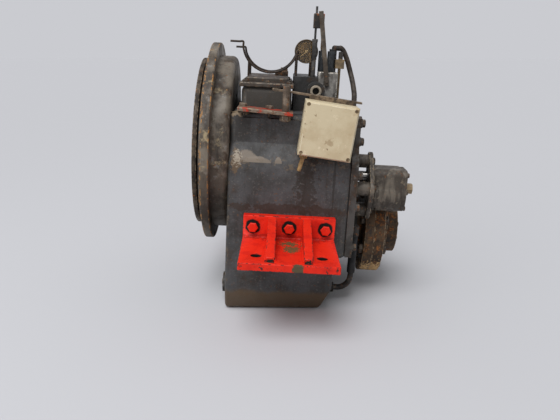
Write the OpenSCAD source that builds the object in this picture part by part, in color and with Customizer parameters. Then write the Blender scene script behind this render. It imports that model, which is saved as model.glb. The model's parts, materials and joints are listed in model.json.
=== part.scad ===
// Marine reverse-reduction gearbox: bell housing, case, clutches, oil pump and controls.
// X runs along the input shaft towards the output, Z is up, and the origin is the centre of
// the engine flange's mounting face. All sizes are in millimetres.

/* [Engine flange] */
// Reach of the engine flange beyond the bell drum
flange_land = 34.25; // [31:0.25:40]
// Thickness of the engine flange
flange_t = 22; // [18:1:26]
// Reach of the centring spigot beyond the bell drum
spigot_land = 13.59; // [12:0.01:16]
// Height of the spigot
spigot_h = 6; // [4:0.5:8]
// Distance of the flange's bolt circle from the bell drum
bolt_land = 23.1; // [22:0.05:25]
// Diameter of the engine flange holes
flange_hole_d = 11.9; // [10:0.1:13]
// Gap between the coupling's rubber and the bell
rubber_gap = 5; // [4:0.5:8]
// Depth of the bell from the flange face to the case
bell_depth = 68; // [64:1:76]
// Wall of the bell
bell_wall = 12; // [9:1:14]
// Rounding of the bell's shoulder
shoulder_r = 15; // [8:1:20]
// Bore of the bell's bulkhead
bell_bore_d = 200; // [180:5:220]

/* [Coupling] */
// Outside diameter of the coupling ring
ring_d = 466.7; // [460:0.1:472]
// Thickness of the coupling ring
ring_t = 12; // [8:1:14]
// Distance of the coupling ring's face in front of the flange
ring_reach = 25.4; // [22:0.1:28]
// Distance of the coupling ring's bolt circle from its edge
ring_edge = 14.275; // [12:0.025:18]
// Diameter of the coupling ring holes
ring_hole_d = 13.5; // [11:0.1:15]
// Width of the coupling ring
ring_w = 68.35; // [60:0.05:75]
// Outside diameter of the rubber element
rubber_d = 450; // [444:1:452]
// Width of the rubber element
rubber_w = 31; // [26:1:36]
// Diameter of the hub flange
hub_flange_d = 260; // [220:5:290]

/* [Case] */
// Length of the case
case_l = 312; // [306:1:330]
// Width of the lower case
lower_w = 480; // [476:1:500]
// Width of the upper case
upper_w = 424; // [420:1:440]
// Width of the pan's bottom
pan_w = 394; // [360:2:420]
// Length of the pan
pan_l = 285; // [276:1:292]
// Depth of the pan's floor below the input axis
pan_drop = 431; // [426:0.5:450]
// Slope of the pan's floor
pan_slope = 3.06; // [2:0.01:4]
// Height where the side walls start to narrow towards the floor
pan_chamfer_z = -352; // [-365:1:-340]
// Height of the step above the pan at the rear
step_z = -250; // [-258:1:-244]
// Height of the foot of the ledge
ledge_z = -10; // [-26:1:-8]
// Rise of the ledge
ledge_h = 46; // [40:1:50]
// Height of the top shelf
shelf_z = 110; // [106:1:114]
// Wall of the case
wall = 10; // [7:0.5:11]
// Width of the rim that takes the rear cover's bolts
rim_w = 26; // [22:1:28]
// Depth of that rim
rim_t = 16; // [12:1:18]
// Radius of the lobe around the output shaft
lobe_r = 105; // [102:1:112]
// Thickness of the rear cover
cover_t = 18; // [16:1:22]

/* [Tower and top] */
// Front of the tower, from the case's front face
tower_in = 22; // [18:1:26]
// Length of the tower
tower_l = 130; // [120:1:134]
// Width of the tower
tower_w = 304; // [296:2:320]
// Height of the tower above the shelf
tower_h = 60; // [56:1:68]
// Wall of the tower
tower_wall = 16; // [14:1:20]
// Thickness of the top cover
lid_t = 12; // [10:1:16]
// Overhang of the top cover
lid_over = 6; // [3:1:7]
// Height of the pad on the top cover
pad_h = 12; // [8:1:16]
// Length of the pad on the top cover
pad_l = 113; // [104:1:116]
// Width of the pad on the top cover
pad_w = 250; // [240:2:262]

/* [Gears] */
// Module of the transfer and reduction gears
gear_module = 5; // [4.75:0.05:5]
// Teeth of each transfer gear
transfer_teeth = 30; // [28:1:30]
// Teeth of each clutch pinion
pinion_teeth = 26; // [24:1:26]
// Teeth of the output gear
output_teeth = 64; // [60:1:64]
// Face width of the transfer gears
transfer_face = 28; // [22:1:32]
// Face width of the output gear
output_face = 46; // [40:1:50]
// How much wider each pinion is than the output gear
pinion_extra = 4; // [2:1:6]
// Outside radius of the clutch drums
drum_r = 72; // [70:0.5:74]
// Wall of the clutch drums
drum_wall = 6; // [4:0.5:8]
// Length of the clutch drums
drum_l = 72; // [66:1:78]
// Thickness of the clutch pistons
piston_t = 12; // [9:1:14]
// Stroke of the clutch pistons
piston_stroke = 3; // [2:0.5:4]
// Module of the pump gears
pump_module = 2.5; // [2.4:0.05:2.5]
// Teeth of each pump gear
pump_teeth = 14; // [13:1:14]

/* [Shafts] */
// Radius of the input shaft in its seal and front bearing
input_nose_r = 30; // [28:0.5:32]
// Radius of the input and counter shafts under their gears
shaft_r = 25; // [24:0.5:27]
// Radius of the counter shaft in its bearings
counter_end_r = 22.5; // [20:0.5:24]
// Radius of the counter shaft's tail in the pump
tail_r = 14; // [12:0.5:14]
// Radius of the output shaft under its gear
output_r = 40; // [39:0.5:44]
// Radius of the output shaft at its rear bearing
output_tail_r = 37.5; // [34:0.5:38]
// Width of the front bearings
bearing_w = 22; // [18:1:24]
// Width of the output shaft's rear bearing
tail_bearing_w = 33; // [28:1:36]

/* [Output] */
// Radius of the output and companion flanges
out_flange_r = 136; // [130:1:140]
// Thickness of the output flange
out_flange_t = 27; // [22:1:32]
// Thickness of the companion flange
mate_flange_t = 29; // [24:1:34]
// Gap between the rear cover and the output flange
out_flange_gap = 48; // [46:1:54]
// Radius of the flange bolt circle
out_bolt_r = 112; // [110:1:116]
// Radius of the step on the companion flange
mate_step_r = 92; // [86:1:95]
// Thickness of that step
mate_step_t = 13; // [10:1:16]
// Radius of the companion flange's hub
mate_hub_r = 76; // [72:1:82]
// Length of the companion flange's hub
mate_hub_l = 33; // [28:1:40]
// Radius of the bore for the propeller shaft
prop_bore_r = 30; // [26:0.5:34]
// Depth of the bore for the propeller shaft
prop_bore_l = 52; // [46:1:56]

/* [Brackets] */
// Length of the mounting brackets
bracket_l = 235; // [228:1:260]
// Front of the brackets, from the case's front face
bracket_in = 45; // [40:1:50]
// Thickness of the upright plate
bracket_t = 22; // [16:1:26]
// Top of the upright plate
bracket_top_z = -142; // [-146:1:-136]
// Underside of the foot
foot_z = -218; // [-224:1:-214]
// Thickness of the foot
foot_t = 18; // [14:1:22]
// Reach of the foot from the case wall
foot_reach = 215; // [200:1:230]
// Width of the bracket ribs
rib_w = 21; // [14:1:26]
// Distance between the foot holes
foot_hole_gap = 156; // [140:1:164]
// Diameter of the foot holes
foot_hole_d = 26; // [22:0.5:30]
// Distance of the foot holes from the foot's edge
foot_hole_in = 56; // [46:1:64]
// Diameter of the bracket bolts
bracket_bolt_d = 16; // [12:1:18]
// Distance between the bracket bolts
bracket_bolt_gap = 92.5; // [88:0.5:98]

/* [Oil pump] */
// Length of the pump standoffs
standoff_l = 36; // [32:1:40]
// Radius of the pump standoffs
standoff_r = 18; // [14:0.5:19]
// Thickness of the pump plate
plate_t = 11; // [9:1:14]
// Length of the pump body
pump_l = 78; // [74:1:84]
// Half width of the pump body
pump_half_w = 46; // [42:1:48]
// Radius of the pump body's lower end
pump_low_r = 50; // [46:1:51]
// Wall in front of the pump gears
pump_front_wall = 11; // [9:1:14]
// Thickness of the pump cover
pump_cover_t = 13; // [11:1:16]

/* [Controls] */
// Length of the valve block
block_l = 63; // [60:1:66]
// Half width of the valve block
block_half_w = 95; // [92:1:104]
// Height of the valve block
block_h = 90; // [86:1:94]
// Length of the valve body
body_l = 52; // [50:1:56]
// Width of the valve body
body_w = 70; // [66:1:78]
// Height of the valve body
body_h = 105; // [102:1:108]
// Radius of the oil port's boss
port_boss_r = 24; // [20:0.5:25]
// Reach of the oil port's boss
port_reach = 27; // [24:1:32]
// Radius of the oil port
port_r = 9; // [7:0.5:11]
// Radius of the solenoids
solenoid_r = 10.5; // [9:0.5:11]
// Height of the solenoids
solenoid_h = 54; // [48:1:58]
// Radius of the spool
spool_r = 6; // [5:0.25:6.5]
// Travel of the spool each way
spool_travel = 10; // [8:0.5:12]
// Width of the flat cable bracket
flat_w = 12; // [10:1:14]
// Thickness of the flat cable bracket
flat_t = 5; // [4:0.5:6]
// Length of the flat cable bracket
flat_l = 190; // [184:1:196]
// Radius of the pressure gauge
gauge_r = 31.5; // [28:0.5:33]
// Depth of the pressure gauge
gauge_depth = 30; // [24:1:32]

/* [Cooler cradle] */
// Radius of the hoops that carry the oil cooler
hoop_r = 74; // [68:0.5:75]
// Diameter of the hoop rod
hoop_rod_d = 5.5; // [4.5:0.25:6.5]
// Distance between the hoops
hoop_gap = 100; // [96:1:110]

/* [Junction box] */
// Width of the junction box
jbox_w = 130; // [122:1:136]
// Height of the junction box
jbox_h = 132; // [124:1:138]
// Depth of the junction box with its lid
jbox_d = 68.5; // [64:0.5:78]
// Depth of the lid
jbox_lid_d = 14; // [10:1:18]
// Wall of the junction box
jbox_wall = 5; // [3:0.5:6]
// Roll of the box on its strip
jbox_roll = 5.9; // [4:0.1:7]
// Radius of the support post
post_r = 8.75; // [7:0.25:9.5]
// Thickness of the support bar
bar_t = 9; // [7:0.5:11]

/* [Fits] */
// Running gap around a turning shaft
run_gap = 0.05; // [0.03:0.01:0.08]
// Gap between moving pieces that pass each other
pass_gap = 0.5; // [0.4:0.1:0.8]
// Gap around a bolt in its hole
bolt_gap = 0.2; // [0.1:0.05:0.3]
// Thinning of each gear tooth for backlash
tooth_thin = 0.3; // [0.2:0.05:0.4]

/* [Hidden] */
$fn = 72;

cut = 1;
far = 600;
flange_hole_n = 12;
ring_hole_n = 8;
out_bolt_n = 8;
hub_bolt_n = 8;
hex_ratio = 1.7;
head_ratio = 0.65;
cover_bolt_d = 12;
lid_bolt_d = 8;
pump_bolt_d = 8;

// Bell drum around the rubber, with the engine flange on it, and the coupling ring
drum_d = rubber_d + 2 * (rubber_gap + bell_wall);
flange_d = drum_d + 2 * flange_land;
spigot_d = drum_d + 2 * spigot_land;
flange_pcd = drum_d + 2 * bolt_land;
ring_pcd = ring_d - 2 * ring_edge;
ring_bore_d = ring_d - 2 * ring_w;
hub_front = 4;
hub_gap = 6;
hub_wall = 26;

// Shaft axes as [Y, Z]
transfer_gap = gear_module * transfer_teeth;
reduction_gap = gear_module * (pinion_teeth + output_teeth) / 2;
input_axis = [0, 0];
output_axis = [0, -reduction_gap];
counter_z = -transfer_gap * transfer_gap / (2 * reduction_gap);
counter_axis = [-sqrt(transfer_gap * transfer_gap - counter_z * counter_z), counter_z];
pump_gap = pump_module * pump_teeth;
driven_axis = counter_axis - [0, pump_gap];

// Places along X
x_case = bell_depth;
x_pan = x_case + pan_l;
x_rear = x_case + case_l;
x_cover = x_rear + cover_t;
front_wall = 12;
x_bearing = x_case + front_wall;
shoulder_gap = 4;
x_shoulder = x_bearing + bearing_w + shoulder_gap;
gear_gap = 1;
x_drum = x_shoulder + gear_gap + transfer_face;
drum_web = 7;
x_piston = x_drum + drum_web + pass_gap;
pack_gap = 3;
x_pack = x_piston + piston_t + piston_stroke + pack_gap;
pinion_gap = 8;
x_pinion = x_drum + drum_l + pinion_gap;
x_gear = x_pinion + pinion_extra / 2;
pinion_face = output_face + pinion_extra;
pinion_wall = 15;
clutch_plates = 5;
clutch_plate_t = 3.5;
clutch_gap = 2;
bearing_gap = 1;
neck_l = 2;
bearing_in = 18;
x_rear_bearing = x_rear - bearing_in;
x_tail_bearing_end = x_rear_bearing + tail_bearing_w;
x_flange = x_cover + out_flange_gap;
x_mate = x_flange + out_flange_t;
x_step = x_mate + mate_flange_t;
x_hub = x_step + mate_step_t;
x_hub_end = x_hub + mate_hub_l;
x_plate = x_cover + standoff_l;
x_pump = x_plate + plate_t;
x_pump_cover = x_pump + pump_l;
x_pump_gear = x_pump + pump_front_wall + pass_gap;
out_nut_r = 50;
out_nut_h = 14;
nut_gap_r = 4;
nut_gap_x = 2;
web_in = 13;
gear_rim = 22;
gear_hub = 25;
gear_hole_r = 20;
gear_hole_circle = 100;
hub_hole_l = 20;
hub_bolt_l = 18;
pump_gear_l = pump_l - pump_front_wall - 2 * pass_gap;

// Bearing seats
input_bearing_r = 55;
counter_bearing_r = 45;
output_bearing_r = 55;
tail_bearing_r = 70;
boss_wall = 9;
seal_w = 9;
seal_wall = 13;
out_hub_r = 62;
out_seal_r = out_hub_r + seal_wall;
out_boss_wall = 6;
out_boss_r = out_seal_r + out_boss_wall;
tail_boss_r = lobe_r - rim_w - bolt_gap;
rim_boss_r = rim_w / 2 - 1;
rim_boss_h = 4;
out_boss_l = 32;
x_out_boss = x_cover + out_boss_l;
seal_in = 1;
out_seal_in = 4;
input_seal_r = input_nose_r + seal_wall;

// Tower and the pieces on the shelf
x_tower = x_case + tower_in;
tower_top = shelf_z + tower_h;
lid_top = tower_top + lid_t;
pad_z = lid_top + pad_h;
x_pad = x_tower + (tower_l - pad_l) / 2;
block_gap = 6;
x_block = x_tower + tower_l + block_gap;
block_back = 10;
block_front = -block_half_w;
block_top = shelf_z + block_h;
x_body = x_block + block_l;
body_top = shelf_z + body_h;
port_x = x_body - 6;
port_z = shelf_z + 56;
port_face = block_front - port_reach;
port_seat = 14;
port_ring_r = 15;
port_ring_l = 20;
solenoid_y = block_front + 35;
solenoid_x = [x_body + 9, x_body + body_l - 19];
solenoid_cap = 6;
coil_top_r = 6.5;
coil_top_h = 22;
switch_gap = 5;
switch_rod_r = 4;
switch_w = 24;
switch_in = 12.5;
switch_lift = 10;
switch_stub_x = 1.5;
switch_stub_r = 6;
switch_stub_l = 20;
spool_x = x_body - 14.5;
spool_y = block_front + 15;
spool_base = block_top - 48;
spool_room = 4;
spool_nut_r = 8;
spool_nut_h = 7;
rod_r = 3;
sleeve_r = 7;
sleeve_z = block_top + 45;
sleeve_l = 47;
rod_top = block_top + 180;
flat_lean = 8.6;
flat_foot = [x_body + 24, shelf_z + 70];
rivet_z = 12;
rivet_r = 4.5;
rivet_h = 3;
anchor_z = block_top + 125;
anchor_h = 37;
anchor_half_l = 7;
anchor_half_w = 10;
gauge_gap = 1.5;
gauge_x = solenoid_x[0] - solenoid_r - gauge_gap - gauge_r;
gauge_z = block_top + 65;
gauge_face = block_front + 33;
gauge_back = gauge_face + gauge_depth;
dial_depth = 4;
bezel_w = 3;
pointer_t = 1;
pointer_w = 2;
pointer_tail = 7;
pointer_hub_r = 4;
pointer_pin_r = 1.5;
pointer_pin_l = 5;
pointer_rest = -135;
pipe_r = 6;
pipe_x = gauge_x + 17;
pipe_y = gauge_back + 12;

// Cooler cradle
hoop_lift = 8.5;
hoop_right_leg = x_block + 4;
hoop_x = hoop_right_leg - 0.96 * hoop_r;
hoop_left_leg = hoop_x - 0.77 * hoop_r;
hoop_z = pad_z + hoop_r + hoop_rod_d / 2 + hoop_lift;
hoop_near_y = block_front + 25;
hoop_rod_r = hoop_rod_d / 2;
hoop_parts = 9;

// Brackets
wall_y = lower_w / 2;
x_bracket = x_case + bracket_in;
bracket_mid = x_bracket + bracket_l / 2;
bracket_face = wall_y + bracket_t;
foot_edge = wall_y + foot_reach;
bracket_bolt_z = (bracket_top_z + foot_z + foot_t) / 2;
washer_t = 3;
rib_gap = 88;
rib_top = 3;
rib_in = 18;
rib_toe = 10;
washer_ratio = 1.9;

// Junction box, its strip and its post
jbox_x = 242;
jbox_gap = 16.5;
jbox_clear = 0.8;
ledge_run = (lower_w - upper_w) / 2;
jbox_low = ledge_z + ledge_h - (jbox_gap - jbox_clear) * ledge_h / ledge_run;
jbox_z = jbox_low + (jbox_h * cos(jbox_roll) + jbox_w * sin(jbox_roll)) / 2;
jbox_place = [x_case + jbox_x, -(upper_w / 2 + jbox_gap + jbox_d), jbox_z];
jbox_back = jbox_place[1] + jbox_d;
strip_t = 5;
strip_w = 18;
strip_h = 5;
strip_lift = 6;
strip_l = 224;
strip_start = -148;
strip_pad_in = 10;
lid_taper = 4;
screw_in = 7.5;
screw_r = 4.5;
screw_head_h = 3;
screw_depth = 5;
screw_bite = 12;
screw_hole_l = 20;
gland_in = 17;
gland_r = 10;
gland_h = 10;
cable_r = 5;
cable_l = 44;
cable_in = 4;
cable_lean = 8;
post_x = x_case + 137;
post_sink = 15;
post_l = 87;
post_nut_h = 13;
post_y = jbox_back - post_r - bolt_gap;
bar_x1 = x_case + 156;
bar_l = 138;
bar_tilt = 3;
bar_edge_y = post_y - post_r - 6;
bar_bolt_wall = 6;
bar_bolt_back = 11;
bar_bolt_y = bar_bolt_wall - upper_w / 2;
bar_w = bar_bolt_y + bar_bolt_back - bar_edge_y;
bar_bolts = [-126, -60];
bar_pad_h = 12;
bar_bolt_in = 12;
bar_hole_in = 14;

// Pump standoffs and pump outline
standoff_points = [
    counter_axis + [0, 41],
    counter_axis + [-58, -22],
    counter_axis + [-24, -86]];
pump_top_z = counter_axis[1] + 27;
pump_low = driven_axis - [0, 7];
pump_round = 18;
plate_r = standoff_r + 7;
head_room = 16;
head_clear = 2.4;
tail_gap = 4;
stub_r = 10;
stub_start = 4;
stub_end = 8;
stub_gap = 1;
pump_cover_inset = 1.5;
pump_hex_r = 15;
pump_hex_drop = 28;
pump_hex_h = 24;
pump_bolt_in = 20;
standoff_bolt_in = 10;
bolt_tip_gap = 2;
cover_points = [
    for (y = [-1, 1], p = [[pump_half_w - 12, 14], [pump_half_w - 9, -32], [24, -78]])
        counter_axis + [y * p[0], p[1]]];

// Bolts of the rear cover, on the middle line of the case's rim
rim_mid = rim_w / 2;
rim_points = concat(
    [for (y = [-1, 1], z = [step_z + rim_mid + 12, -116, ledge_z - 22])
        [y * (lower_w / 2 - rim_mid), z]],
    [for (y = [-1, 1], z = [ledge_z + ledge_h + 14, shelf_z - rim_mid])
        [y * (upper_w / 2 - rim_mid), z]],
    [for (y = [-1, 1], p = [45, 125]) [y * p, shelf_z - rim_mid]],
    [for (a = [-140, -90, -40]) output_axis + (lobe_r - rim_mid) * [cos(a), sin(a)]]);
lid_hole_in = 20;
lid_bolt_in = 16;
lid_points = concat(
    [for (x = [0.5, 0, -0.5], y = [-1, 1])
        [x_tower + tower_l / 2 + x * (tower_l - tower_wall), y * (tower_w - tower_wall) / 2]],
    [for (x = [0.5, -0.5], y = [-60, 60])
        [x_tower + tower_l / 2 + x * (tower_l - tower_wall), y]]);
bell_bolt_r = bell_bore_d / 2 + 40;
bell_bolt_angles = [for (a = [-150 : 40 : -30]) a];

// Pieces on the case's front, top and pan
filler_l = 38;
filler_w = 50;
filler_h = 13;
filler_y = 45;
filler_in = 1;
knob_in = 12;
knob_r = 10;
knob_h = 9;
strainer_axis = [-150, -370];
strainer_r = 28;
strainer_t = 10;
strainer_hex_r = 11;
strainer_hex_h = 3;
drain_axis = [100, -384];
drain_r = 14;
drain_h = 9;
pan_port = [-155, -368];
pan_boss_r = 17;
pan_boss_h = 4;
pan_boss_in = 22;

// Routes of the two hoses and of the return pipe below its hose, chosen by hand, straight
// where they leave their fittings
supply_r = 7;
supply_route = [
    [341, -38, 278], [345, -38, 278], [349, -38, 278], [357, -37, 270],
    [368, -37, 248], [377, -40, 222], [385, -58, 192], [389, -83, 164],
    [389, -95, 147], [389, -95, 138], [389, -95, 130]];
return_r = 11;
return_route = [
    [411, -165, -212], [411, -165, -240], [411, -165, -265],
    [411, -164, -290], [411, -163, -306], [411, -163, -318]];
pipe_route = [
    [411, -163, -318], [411, -163, -325], [410, -162, -337], [405, -160, -351],
    [395, -157, -362], concat(382, pan_port), concat(374, pan_port),
    concat(x_pan + pan_boss_h, pan_port)];
elbow_l = 10;
hose_nut_wall = 3;
elbow_wall = 2;
elbow_rise = 14;
tail_nut_r = 14;
tail_nut_l = 10;
return_pipe_r = 8;

// Gear teeth as involutes with a pressure angle of 20 degrees
pressure = 20;
function involute(a) = tan(a) * 180 / PI - a;
function tooth_radii(low, base, tip) =
    let (start = max(low, base))
    concat(low < base ? [low] : [], [for (i = [0 : 3]) start + (tip - start) * i / 3]);
function tooth_half(m, teeth, r) =
    let (pitch = m * teeth / 2, base = pitch * cos(pressure), rr = max(r, base))
    90 / teeth - tooth_thin / pitch * 90 / PI + involute(pressure) - involute(acos(base / rr));
function gear_points(m, teeth) =
    let (pitch = m * teeth / 2,
        radii = tooth_radii(pitch - 1.25 * m, pitch * cos(pressure), pitch + m),
        last = len(radii) - 1)
    [for (k = [0 : teeth - 1], side = [-1, 1], i = [0 : last])
        let (r = radii[side < 0 ? i : last - i],
            a = 360 * k / teeth + side * tooth_half(m, teeth, r))
        r * [cos(a), sin(a)]];
function mesh_turn(towards, turn, teeth, other) =
    let (share = (towards - turn) * teeth / 360)
    towards + 180 - (0.5 - share) * 360 / other;

transfer_turn = mesh_turn(
    atan2(counter_axis[1], counter_axis[0]), 0, transfer_teeth, transfer_teeth);
forward_turn = mesh_turn(90, 90, output_teeth, pinion_teeth);
reverse_turn = mesh_turn(
    atan2(counter_axis[1] - output_axis[1], counter_axis[0]), 90, output_teeth, pinion_teeth);
driven_turn = mesh_turn(-90, 0, pump_teeth, pump_teeth);

// A smooth curve through a hose's points, and the tube around it
hose_sides = 12;
hose_steps = 3;
function curve_point(p, i, t) =
    let (n = len(p) - 1, a = p[max(i - 1, 0)], b = p[i], c = p[i + 1], d = p[min(i + 2, n)])
    0.5 * (2 * b + (c - a) * t + (2 * a - 5 * b + 4 * c - d) * t * t
        + (3 * b - a - 3 * c + d) * t * t * t);
function curve(p) = concat(
    [for (i = [0 : len(p) - 2], k = [0 : hose_steps - 1]) curve_point(p, i, k / hose_steps)],
    [p[len(p) - 1]]);
function unit(v) = v / norm(v);
function heading(c, i) = unit(c[min(i + 1, len(c) - 1)] - c[max(i - 1, 0)]);
function hose_ring(c, i, r) =
    let (t = i == 0 ? unit(c[1] - c[0]) : heading(c, i),
        side = unit([0, 1, 0] - t[1] * t), up = cross(t, side))
    [for (k = [0 : hose_sides - 1])
        let (a = 360 * k / hose_sides) c[i] + r * (cos(a) * side + sin(a) * up)];

// Shared shapes
module along_x(x, axis = [0, 0]) {
    translate([x, axis[0], axis[1]]) rotate([90, 0, 90]) children();
}

module rod_x(x0, x1, r, axis = [0, 0]) {
    along_x(x0, axis) cylinder(r = r, h = x1 - x0);
}

module ring_x(x0, x1, r_out, r_in, axis = [0, 0]) {
    difference() {
        rod_x(x0, x1, r_out, axis);
        rod_x(x0 - cut, x1 + cut, r_in, axis);
    }
}

module box(from, to) {
    translate(from) cube(to - from);
}

// A cylinder that starts at y and runs towards the viewer
module rod_near(x, y, z, r, h) {
    translate([x, y, z]) rotate([90, 0, 0]) cylinder(r = r, h = h);
}

// A bolt along +Z whose head rests on Z = 0, with its shank below
module bolt(d, shank) {
    hex_head(d);
    translate([0, 0, -shank]) cylinder(d = d, h = shank);
}

module hex_head(d) {
    cylinder(d = d * hex_ratio, h = d * head_ratio, $fn = 6);
}

module bolt_hole(d, depth) {
    translate([0, 0, -depth]) cylinder(d = d + 2 * bolt_gap, h = depth + cut);
}

module hose(route, r) {
    c = curve(route);
    last = len(c) - 1;
    n = hose_sides;
    polyhedron(
        points = [for (i = [0 : last]) each hose_ring(c, i, r)],
        faces = concat(
            [[for (k = [0 : n - 1]) k]],
            [for (i = [0 : last - 1], k = [0 : n - 1])
                [i * n + k, (i + 1) * n + k, (i + 1) * n + (k + 1) % n, i * n + (k + 1) % n]],
            [[for (k = [n - 1 : -1 : 0]) last * n + k]]),
        convexity = 4);
}

module spur_gear(m, teeth, face, turn) {
    linear_extrude(face) rotate(turn) polygon(gear_points(m, teeth));
}

// Case
function case_outline(inset) =
    let (l = lower_w / 2 - inset, u = upper_w / 2 - inset, b = pan_w / 2 - inset,
        s = inset * tan(atan((lower_w - upper_w) / 2 / ledge_h) / 2), low = -pan_drop - 8)
    [[-b, low], [-l, pan_chamfer_z], [-l, ledge_z - s], [-u, ledge_z + ledge_h - s],
        [-u, shelf_z - inset], [u, shelf_z - inset], [u, ledge_z + ledge_h - s],
        [l, ledge_z - s], [l, pan_chamfer_z], [b, low]];

module rear_outline(inset) {
    intersection() {
        polygon(case_outline(inset));
        translate([-far / 2, step_z + inset]) square([far, far]);
    }
    translate(output_axis) circle(r = lobe_r - inset);
}

module below_floor(lift) {
    translate([0, 0, lift - pan_drop]) rotate([0, -pan_slope, 0])
        translate([-far / 2, -far / 2, -far / 4]) cube([2 * far, far, far / 4]);
}

module behind_chamfer(x, lift) {
    translate([x, -far / 2, pan_chamfer_z + 12 + lift]) rotate([0, 21, 0])
        translate([0, 0, -far / 4]) cube([far / 4, far, far / 4]);
}

// The case's form, from x0 to the pan's rear at x1 and the rear opening at x2
module case_form(x0, x1, x2, inset) {
    difference() {
        union() {
            along_x(x0) linear_extrude(x1 - x0) polygon(case_outline(inset));
            along_x(x1 - 30) linear_extrude(x2 - x1 + 30) rear_outline(inset);
        }
        below_floor(inset);
        behind_chamfer(x1, inset / 4);
    }
}

module case_cavity() {
    case_form(x_bearing, x_pan - wall, x_rear - rim_t, wall);
    along_x(x_rear - rim_t - cut) linear_extrude(rim_t + 2 * cut) rear_outline(rim_w);
    box([x_tower + tower_wall, tower_wall - tower_w / 2, shelf_z - wall - cut],
        [x_tower + tower_l - tower_wall, tower_w / 2 - tower_wall, tower_top + cut]);
}

module at_bracket_bolts() {
    for (m = [0, 1]) mirror([0, m, 0])
        for (i = [-1, 0, 1])
            translate([bracket_mid + i * bracket_bolt_gap, -bracket_face, bracket_bolt_z])
                rotate([90, 0, 0]) children();
}

module at_rim_bolts() {
    for (p = rim_points) along_x(x_cover, p) children();
}

module at_lid_bolts() {
    for (p = lid_points) translate([p[0], p[1], lid_top]) children();
}

module at_bell_bolts() {
    for (a = bell_bolt_angles)
        translate([x_case - bell_wall, bell_bolt_r * cos(a), bell_bolt_r * sin(a)])
            rotate([0, -90, 0]) children();
}

module at_bar() {
    translate([bar_x1, 0, shelf_z]) rotate([0, bar_tilt, 0]) children();
}

module at_bar_bolts() {
    at_bar() for (x = bar_bolts) translate([x, bar_bolt_y, bar_t]) children();
}

module main_case() color("#3c3a38") difference() {
    union() {
        difference() {
            union() {
                case_form(x_case, x_pan, x_rear, 0);
                box([x_tower, -tower_w / 2, shelf_z - cut],
                    [x_tower + tower_l, tower_w / 2, tower_top]);
            }
            case_cavity();
        }
        rod_x(x_case, x_bearing + bearing_w, input_bearing_r + boss_wall);
        rod_x(x_case, x_bearing + bearing_w, counter_bearing_r + boss_wall, counter_axis);
        rod_x(x_case, x_bearing + bearing_w, output_bearing_r + boss_wall, output_axis);
        rod_x(x_pan - pan_boss_in, x_pan + pan_boss_h, pan_boss_r, pan_port);
    }
    rod_x(x_case - cut, x_bearing + cut, input_seal_r);
    rod_x(x_bearing, x_bearing + bearing_w + cut, input_bearing_r);
    rod_x(x_bearing, x_bearing + bearing_w + cut, counter_bearing_r, counter_axis);
    rod_x(x_bearing, x_bearing + bearing_w + cut, output_bearing_r, output_axis);
    at_bracket_bolts() bolt_hole(bracket_bolt_d, bracket_t + wall + cut);
    at_rim_bolts() bolt_hole(cover_bolt_d, cover_t + rim_t);
    at_lid_bolts() bolt_hole(lid_bolt_d, lid_t + lid_hole_in);
    at_bell_bolts() bolt_hole(cover_bolt_d, bell_wall + front_wall - bolt_tip_gap);
    at_bar_bolts() bolt_hole(cover_bolt_d, bar_t + bar_hole_in);
}

module bell_housing() color("#6b6258") difference() {
    rotate([90, 0, 90]) rotate_extrude() bell_profile();
    for (i = [0 : flange_hole_n - 1]) {
        a = (i + 0.5) * 360 / flange_hole_n;
        rod_x(-cut, flange_t + cut, flange_hole_d / 2, flange_pcd / 2 * [cos(a), sin(a)]);
    }
    at_bell_bolts() bolt_hole(cover_bolt_d, bell_wall + cut);
}

module bell_profile() {
    inner = drum_d / 2 - bell_wall;
    round_x = drum_d / 2 - shoulder_r;
    translate([inner, 0]) square([flange_d / 2 - inner, flange_t]);
    translate([inner, -spigot_h]) square([spigot_d / 2 - inner, spigot_h + cut]);
    translate([inner, 0]) square([bell_wall, x_case - shoulder_r]);
    translate([round_x, x_case - shoulder_r]) circle(r = shoulder_r);
    translate([bell_bore_d / 2, x_case - bell_wall])
        square([round_x - bell_bore_d / 2, bell_wall]);
}

module rear_cover() color("#4b4743") difference() {
    union() {
        along_x(x_rear) linear_extrude(cover_t) rear_outline(0);
        rod_x(x_rear_bearing, x_rear + cut, counter_bearing_r + boss_wall);
        rod_x(x_rear_bearing, x_rear + cut, counter_bearing_r + boss_wall, counter_axis);
        rod_x(x_rear_bearing, x_rear + cut, tail_boss_r, output_axis);
        rod_x(x_rear, x_out_boss, out_boss_r, output_axis);
        for (p = rim_points) rod_x(x_rear, x_cover + rim_boss_h, rim_boss_r, p);
    }
    rod_x(x_rear_bearing - cut, x_rear_bearing + bearing_w, counter_bearing_r);
    rod_x(x_rear_bearing - cut, x_rear_bearing + bearing_w, counter_bearing_r, counter_axis);
    rod_x(x_rear_bearing, x_cover + cut, tail_r + tail_gap, counter_axis);
    rod_x(x_rear_bearing - cut, x_tail_bearing_end, tail_bearing_r, output_axis);
    rod_x(x_tail_bearing_end - cut, x_out_boss + cut, out_seal_r, output_axis);
    translate([rim_boss_h, 0, 0]) at_rim_bolts() bolt_hole(cover_bolt_d, far / 8);
    for (p = standoff_points)
        along_x(x_cover, p) bolt_hole(cover_bolt_d, standoff_bolt_in + bolt_tip_gap);
}

module top_cover() color("#56504a") difference() {
    union() {
        box([x_tower - lid_over, -tower_w / 2 - lid_over, tower_top],
            [x_tower + tower_l + lid_over - 2, tower_w / 2 + lid_over, lid_top]);
        box([x_pad, -pad_w / 2, lid_top - cut], [x_pad + pad_l, pad_w / 2, pad_z]);
    }
    at_lid_bolts() bolt_hole(lid_bolt_d, lid_t + cut);
    at_lid_bolts() cylinder(d = lid_bolt_d * 2.1, h = far / 8);
}

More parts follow.
